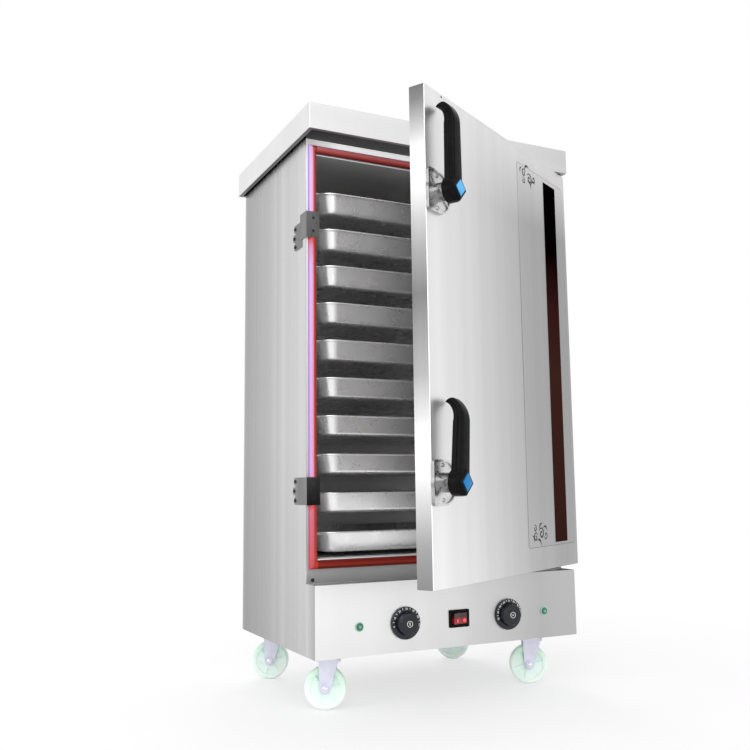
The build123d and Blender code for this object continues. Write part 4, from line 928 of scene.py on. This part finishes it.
def hub_mesh(name):
    """Round hub whose front tapers to a square turned on its corner."""
    shape = bmesh.new()
    for radius, height in ((HUB_RADIUS - HUB_EDGE, HUB_BACK), (HUB_RADIUS, HUB_BACK + HUB_EDGE),
                           (HUB_RADIUS, HUB_FRONT), (HUB_RADIUS - HUB_EDGE / 3, HUB_FRONT + HUB_EDGE)):
        for x, y in circle(radius, HUB_STEPS):
            shape.verts.new((x, y, height))
    slant = math.sqrt(0.5)
    for half, height in ((HEAD_HALF + HUB_EDGE, HEAD_FRONT - HUB_EDGE), (HEAD_HALF, HEAD_FRONT)):
        for x, y in rounded_square(half, HEAD_CORNER):
            shape.verts.new(((x - y) * slant, (x + y) * slant, height))
    hull = bmesh.ops.convex_hull(shape, input=shape.verts)
    loose = [item for item in hull["geom_interior"] if isinstance(item, bmesh.types.BMVert)]
    bmesh.ops.delete(shape, geom=loose, context="VERTS")
    return from_bmesh(name, shape, sharp=22)


def add_latch(name, badge_finish):
    """Lever of one latch with its hub and badge, in place of the plain lever."""
    place = latch_place(name)
    body = name + "_latch"
    for part, mesh in (("grip", grip_mesh(name + "_grip", GRIP_LENGTH[name])),
                       ("hub", hub_mesh(name + "_hub"))):
        piece = add_piece(f"{name}_{part}", mesh, "black", body, place)
        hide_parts(name + "_lever")
    for part, half, lift, finish in (("badge", BADGE_HALF, 0.0, "badge_rim"),
                                     ("badge_face", BADGE_HALF - BADGE_RIM, BADGE_STEP, badge_finish)):
        mesh = slab(f"{name}_{part}", rounded_square(half, BADGE_CORNER), HEAD_FRONT - BADGE_SEAT,
                    HEAD_FRONT + BADGE_THICKNESS + lift, BADGE_EDGE)
        mesh.transform(Matrix.Rotation(math.radians(45), 4, "Z"))
        add_piece(f"{name}_{part}", mesh, finish, body, place)


# Dials

def numeral_mesh(text):
    """Flat raised lettering, centred on the origin."""
    curve = bpy.data.curves.new("lettering", "FONT")
    curve.body = text
    curve.size = NUMERAL_SIZE
    curve.align_x = "CENTER"
    curve.align_y = "CENTER"
    curve.extrude = PRINT_THICKNESS
    curve.resolution_u = 3
    letter = new_object("lettering", curve)
    bpy.context.view_layer.update()
    mesh = bpy.data.meshes.new_from_object(letter.evaluated_get(
        bpy.context.evaluated_depsgraph_get()))
    bpy.data.objects.remove(letter)
    bpy.data.curves.remove(curve)
    return mesh


def add_dial(name, labels, first_turn, last_turn, cap_mark):
    """Numerals and ticks on the skirt, rings and a pointer on the grip, a mark in the cap."""
    place = dial_place(name + "_turn")
    body = name + "_dial"
    step = math.radians(last_turn - first_turn) / (len(labels) - 1)
    prints = []
    for i, label in enumerate(labels):
        turn = math.radians(first_turn) + i * step
        numeral = numeral_mesh(str(label))
        numeral.transform(Matrix.Rotation(turn - math.pi / 2, 4, "Z")
                          @ Matrix.Translation((0, NUMERAL_RADIUS, 0)))
        prints.append(numeral)
        if label != labels[-1]:
            tick = slab("tick", TICK, -PRINT_THICKNESS, PRINT_THICKNESS)
            tick.transform(Matrix.Rotation(turn + step / 2, 4, "Z"))
            prints.append(tick)
    marks = join(name + "_numerals", prints)
    marks.transform(Matrix.Translation((0, 0, SKIRT_FACE)))
    add_piece(name + "_numerals", marks, "print_white", body, place, smooth=False)
    ring = lathe(name + "_cap_ring", CAP_RING)
    face = lathe(name + "_face_ring", FACE_RING)
    pointer = slab(name + "_pointer", POINTER, POINTER_BACK, POINTER_FRONT, MARK_EDGE)
    cap = slab(name + "_cap_mark", cap_mark, CAP_MARK_BACK, CAP_MARK_FRONT, MARK_EDGE)
    for part, mesh, finish, slot in (("cap_ring", ring, "chrome", "fixture_steel"),
                                     ("face_ring", face, "dial", "black_plastic"),
                                     ("pointer", pointer, "print_grey", "black_plastic"),
                                     ("cap_mark", cap, "print_white", "black_plastic")):
        add_piece(f"{name}_{part}", mesh, finish, body, place)


# Rocker marks

def add_rocker_marks():
    """Raised line and ring on the two halves of the rocker."""
    pivot = joint_place("rocker_tilt")
    face = pivot.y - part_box("power_rocker")[0].y
    line = slab("rocker_line", ROCKER_LINE, ROCKER_MARK_BACK, ROCKER_MARK_FRONT, ROCKER_EDGE)
    ring = lathe("rocker_ring", ROCKER_RING, 32)
    for name, x, mesh in (("rocker_line", -ROCKER_MARK_X, line), ("rocker_ring", ROCKER_MARK_X, ring)):
        place = (Matrix.Translation(pivot) @ Matrix.Rotation(ROCKER_TILT, 4, "Z")
                 @ Matrix.Translation((x, ROCKER_MARK_SINK - face, -ROCKER_MARK_DROP)) @ TO_FRONT)
        add_piece(name, mesh, "print_red", "mains_rocker", place)


# Casters

def add_caster_trim(name):
    """Ribs in the dished sides of a wheel, and bright heads on its axle."""
    joint = joints[name + "_wheel_spin"]
    place = (Matrix.Translation(joint["pos_m"])
             @ Vector(joint["axis"]).to_track_quat("Z", "Y").to_matrix().to_4x4())
    ribs = []
    heads = []
    for side_turn in (0, math.pi):
        facing = Matrix.Rotation(side_turn, 4, "X")
        for i in range(RIBS):
            rib = slab("rib", RIB_OUTLINE, RIB_FOOT, RIB_TOP, RIB_EDGE)
            rib.transform(facing @ Matrix.Rotation(2 * math.pi * (i + RIB_START) / RIBS, 4, "Z"))
            ribs.append(rib)
        head = lathe("head", AXLE_HEAD, 32, closed=False)
        head.transform(facing)
        heads.append(head)
    add_piece(name + "_wheel_ribs", join(name + "_wheel_ribs", ribs), "wheel", name + "_roller",
              place)
    add_piece(name + "_axle_heads", join(name + "_axle_heads", heads), "chrome", name + "_swivel",
              place)


# Trim of the chamber and of the door

def add_trim():
    """Sill strip, filling plug of the door, and rolled rim of the chamber's ceiling."""
    inner = chamber_high.x - CHAMBER_INSET
    sill = slab("sill_trim", rectangle(-inner, inner, chamber_low.z + SILL_LOW,
                                       chamber_low.z + SILL_HIGH),
                SILL_BACK, SILL_FRONT, SILL_EDGE)
    sill.transform(Matrix.Translation((0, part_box("front_frame")[0].y, 0)) @ TO_FRONT)
    add_piece("sill_trim", sill, "sill", "cabinet")
    plug = lathe("filling_plug", FILL_PLUG, 24, closed=False)
    plug.transform(door_swing @ Matrix.Translation((door_left + FILL_HOLE_X, door_face,
                                                    door_top - FILL_HOLE_DROP)) @ TO_FRONT)
    add_piece("filling_plug", plug, "black", "door")
    web = slab("ceiling_web", rectangle(-inner, inner, RIM_BEAD - RIM_DROP, 0), 0.0, RIM_SHEET)
    bead = slab("ceiling_bead", rounded_outline(-inner, inner, -RIM_DROP, 2 * RIM_BEAD - RIM_DROP,
                                                RIM_CORNER), -RIM_BEAD, RIM_BEAD)
    for name, mesh, finish in (("ceiling_web", web, "chamber"), ("ceiling_bead", bead, "sill")):
        mesh.transform(Matrix.Translation((0, chamber_low.y + RIM_BACK, chamber_high.z)) @ TO_FRONT)
        add_piece(name, mesh, finish, "cabinet")


# Door film and ornaments, drawn in X and Z of the shut door

def onto_door(mesh):
    """Move a mesh drawn facing +Z onto the open door's face."""
    mesh.transform(door_swing @ Matrix.Translation((0, door_face, 0)) @ TO_FRONT)
    return mesh


def add_film():
    """Printed film on the right half of the door, with a thin line round it."""
    for name, inset, thickness in (("film_line", 0.0, FILM_LINE_THICKNESS),
                                   ("film", FILM_LINE, FILM_THICKNESS)):
        outline = rounded_outline(FILM_LEFT + inset, FILM_RIGHT - inset, FILM_BOTTOM + inset,
                                  FILM_TOP - inset, FILM_CORNER - inset)
        sheet = onto_door(slab(name, outline, 0.0, thickness))
        add_piece(name, sheet, name, "door", smooth=False)


def ribbon(points, widths):
    """Tapering raised line along points of a plane."""
    shape = bmesh.new()
    rows = []
    for i, (x, y) in enumerate(points):
        before = Vector(points[max(i - 1, 0)])
        after = Vector(points[min(i + 1, len(points) - 1)])
        way = (after - before).normalized()
        side = Vector((-way.y, way.x)) * widths[i] / 2
        rows.append([shape.verts.new((x + sx * side.x, y + sx * side.y, z))
                     for sx, z in ((-1, 0), (1, 0), (1, RIBBON_THICKNESS), (-1, RIBBON_THICKNESS))])
    for first, second in zip(rows, rows[1:]):
        for i in range(4):
            j = (i + 1) % 4
            shape.faces.new((first[i], first[j], second[j], second[i]))
    shape.faces.new(rows[0])
    shape.faces.new(rows[-1])
    return from_bmesh("ribbon", shape)


def curl_mesh(x, y, size, turns, start, sense):
    """Spiral that thins towards its middle."""
    steps = int(CURL_STEPS_PER_TURN * turns)
    points = []
    widths = []
    for i in range(steps + 1):
        share = i / steps
        radius = size * (1 - CURL_WIND * share)
        turn = start + sense * 2 * math.pi * turns * share
        points.append((x + radius * math.cos(turn), y + radius * math.sin(turn)))
        widths.append(size * (CURL_WIDTH + CURL_SWELL * math.sin(math.pi * share)))
    return ribbon(points, widths)


def leaf_mesh(x, y, length, turn):
    """Thin curved leaf."""
    points = []
    widths = []
    for i in range(LEAF_STEPS + 1):
        share = i / LEAF_STEPS
        swell = math.sin(math.pi * share)
        place = Vector((length * share, length * LEAF_BOW * swell))
        place.rotate(Matrix.Rotation(turn, 2))
        points.append((x + place.x, y + place.y))
        widths.append(length * (LEAF_WIDTH + LEAF_SWELL * swell ** 1.5))
    return ribbon(points, widths)


def add_ornament(name, x, z, way):
    """Small scroll ornament of curls and leaves."""
    unit = ORNAMENT_SCALE * MM
    parts = [curl_mesh(x + dx * unit, z + way * dz * unit, size * unit, turns, start, sense)
             for dx, dz, size, turns, start, sense in CURLS]
    parts += [leaf_mesh(x + dx * unit, z + way * dz * unit, length * unit, way * turn)
              for dx, dz, length, turn in LEAVES]
    add_piece(name, onto_door(join(name, parts)), "print_grey", "door", smooth=False)


# Scene

def add_camera():
    """Camera of the photograph."""
    yaw, pitch, roll = (math.radians(a) for a in (CAMERA_YAW, CAMERA_PITCH, CAMERA_ROLL))
    ahead = Vector((math.sin(yaw) * math.cos(pitch), math.cos(yaw) * math.cos(pitch),
                    math.sin(pitch)))
    level = Vector((math.cos(yaw), -math.sin(yaw), 0))
    upward = level.cross(ahead)
    side = level * math.cos(roll) + upward * math.sin(roll)
    top = upward * math.cos(roll) - level * math.sin(roll)
    turned = Matrix((side, top, -ahead)).transposed().to_4x4()
    data = bpy.data.cameras.new("camera")
    data.sensor_width = CAMERA_SENSOR
    data.lens = CAMERA_LENS
    camera = new_object("camera", data)
    camera.matrix_world = Matrix.Translation(CAMERA_PLACE) @ turned
    bpy.context.scene.camera = camera


def add_world():
    """White seen directly, softly graded for reflections, and a plain level of light."""
    world = bpy.data.worlds.new("studio")
    bpy.context.scene.world = world
    world.use_nodes = True
    studio = Shading(world.node_tree)
    rays = studio.add("LightPath").outputs
    toward = studio.dot(studio.add("TexCoord").outputs["Generated"], ROOM_FRONT)
    room = studio.levels(studio.remap(toward, -1.0, 1.0), ROOM_LEVELS)
    lit = studio.mix(rays["Is Glossy Ray"], grey(ROOM_LIGHT), room)
    shown = studio.mix(rays["Is Camera Ray"], lit, grey(1.0))
    studio.feed(studio.tree.nodes["Background"].inputs["Color"], shown)


def add_lamp(name, place, target, size, power):
    """Soft disk of light that faces its target."""
    data = bpy.data.lights.new(name, "AREA")
    data.shape = "DISK"
    data.size = size
    data.energy = power
    way = Vector(target) - Vector(place)
    turned = way.to_track_quat("-Z", "Y").to_matrix().to_4x4()
    new_object(name, data).matrix_world = Matrix.Translation(place) @ turned


def add_floor():
    """Pale floor that fades to white away from the object."""
    mesh = bpy.data.meshes.new("floor")
    corners = rectangle(-FLOOR_HALF, FLOOR_HALF, -FLOOR_HALF, FLOOR_HALF)
    mesh.from_pydata([(x, y, 0) for x, y in corners], [], [(0, 1, 2, 3)])
    new_object("floor", mesh)
    finish = Finish("floor_white", roughness=0.7)
    finish.colour(finish.levels(finish.noise(3.0), [(0.3, 0.90), (0.7, 0.93)]))
    glow = finish.add("Emission", [("Color", grey(1.0)), ("Strength", 1.0)])
    away = finish.add("VectorMath", [(0, finish.place)], operation="LENGTH").outputs["Value"]
    far = finish.remap(away, FADE_START, FADE_END, 0.5, 1.0)
    share = finish.math("MULTIPLY", far, finish.seen_directly())
    blend = finish.add("MixShader", [(0, share), (1, finish.shader.outputs[0]),
                                     (2, glow.outputs[0])])
    finish.feed(finish.tree.nodes["Material Output"].inputs["Surface"], blend.outputs[0])
    mesh.materials.append(finish.material)


finish_nodes()
add_latch("upper", "badge_light")
add_latch("lower", "badge")
add_dial("timer", range(0, 61, 10), 190, -10, SLOT_MARK)
add_dial("thermostat", range(30, 111, 10), 195, -15, DIAMOND_MARK)
for corner in CORNERS:
    add_caster_trim(corner)
add_trim()
add_rocker_marks()
add_film()
for number, (x, z, way) in enumerate(ORNAMENTS, start=1):
    add_ornament(f"ornament_{number}", x, z, way)
add_camera()
add_world()
for name, lamp in LAMPS.items():
    add_lamp(name, *lamp)
add_floor()
bpy.context.scene.view_settings.view_transform = "Standard"
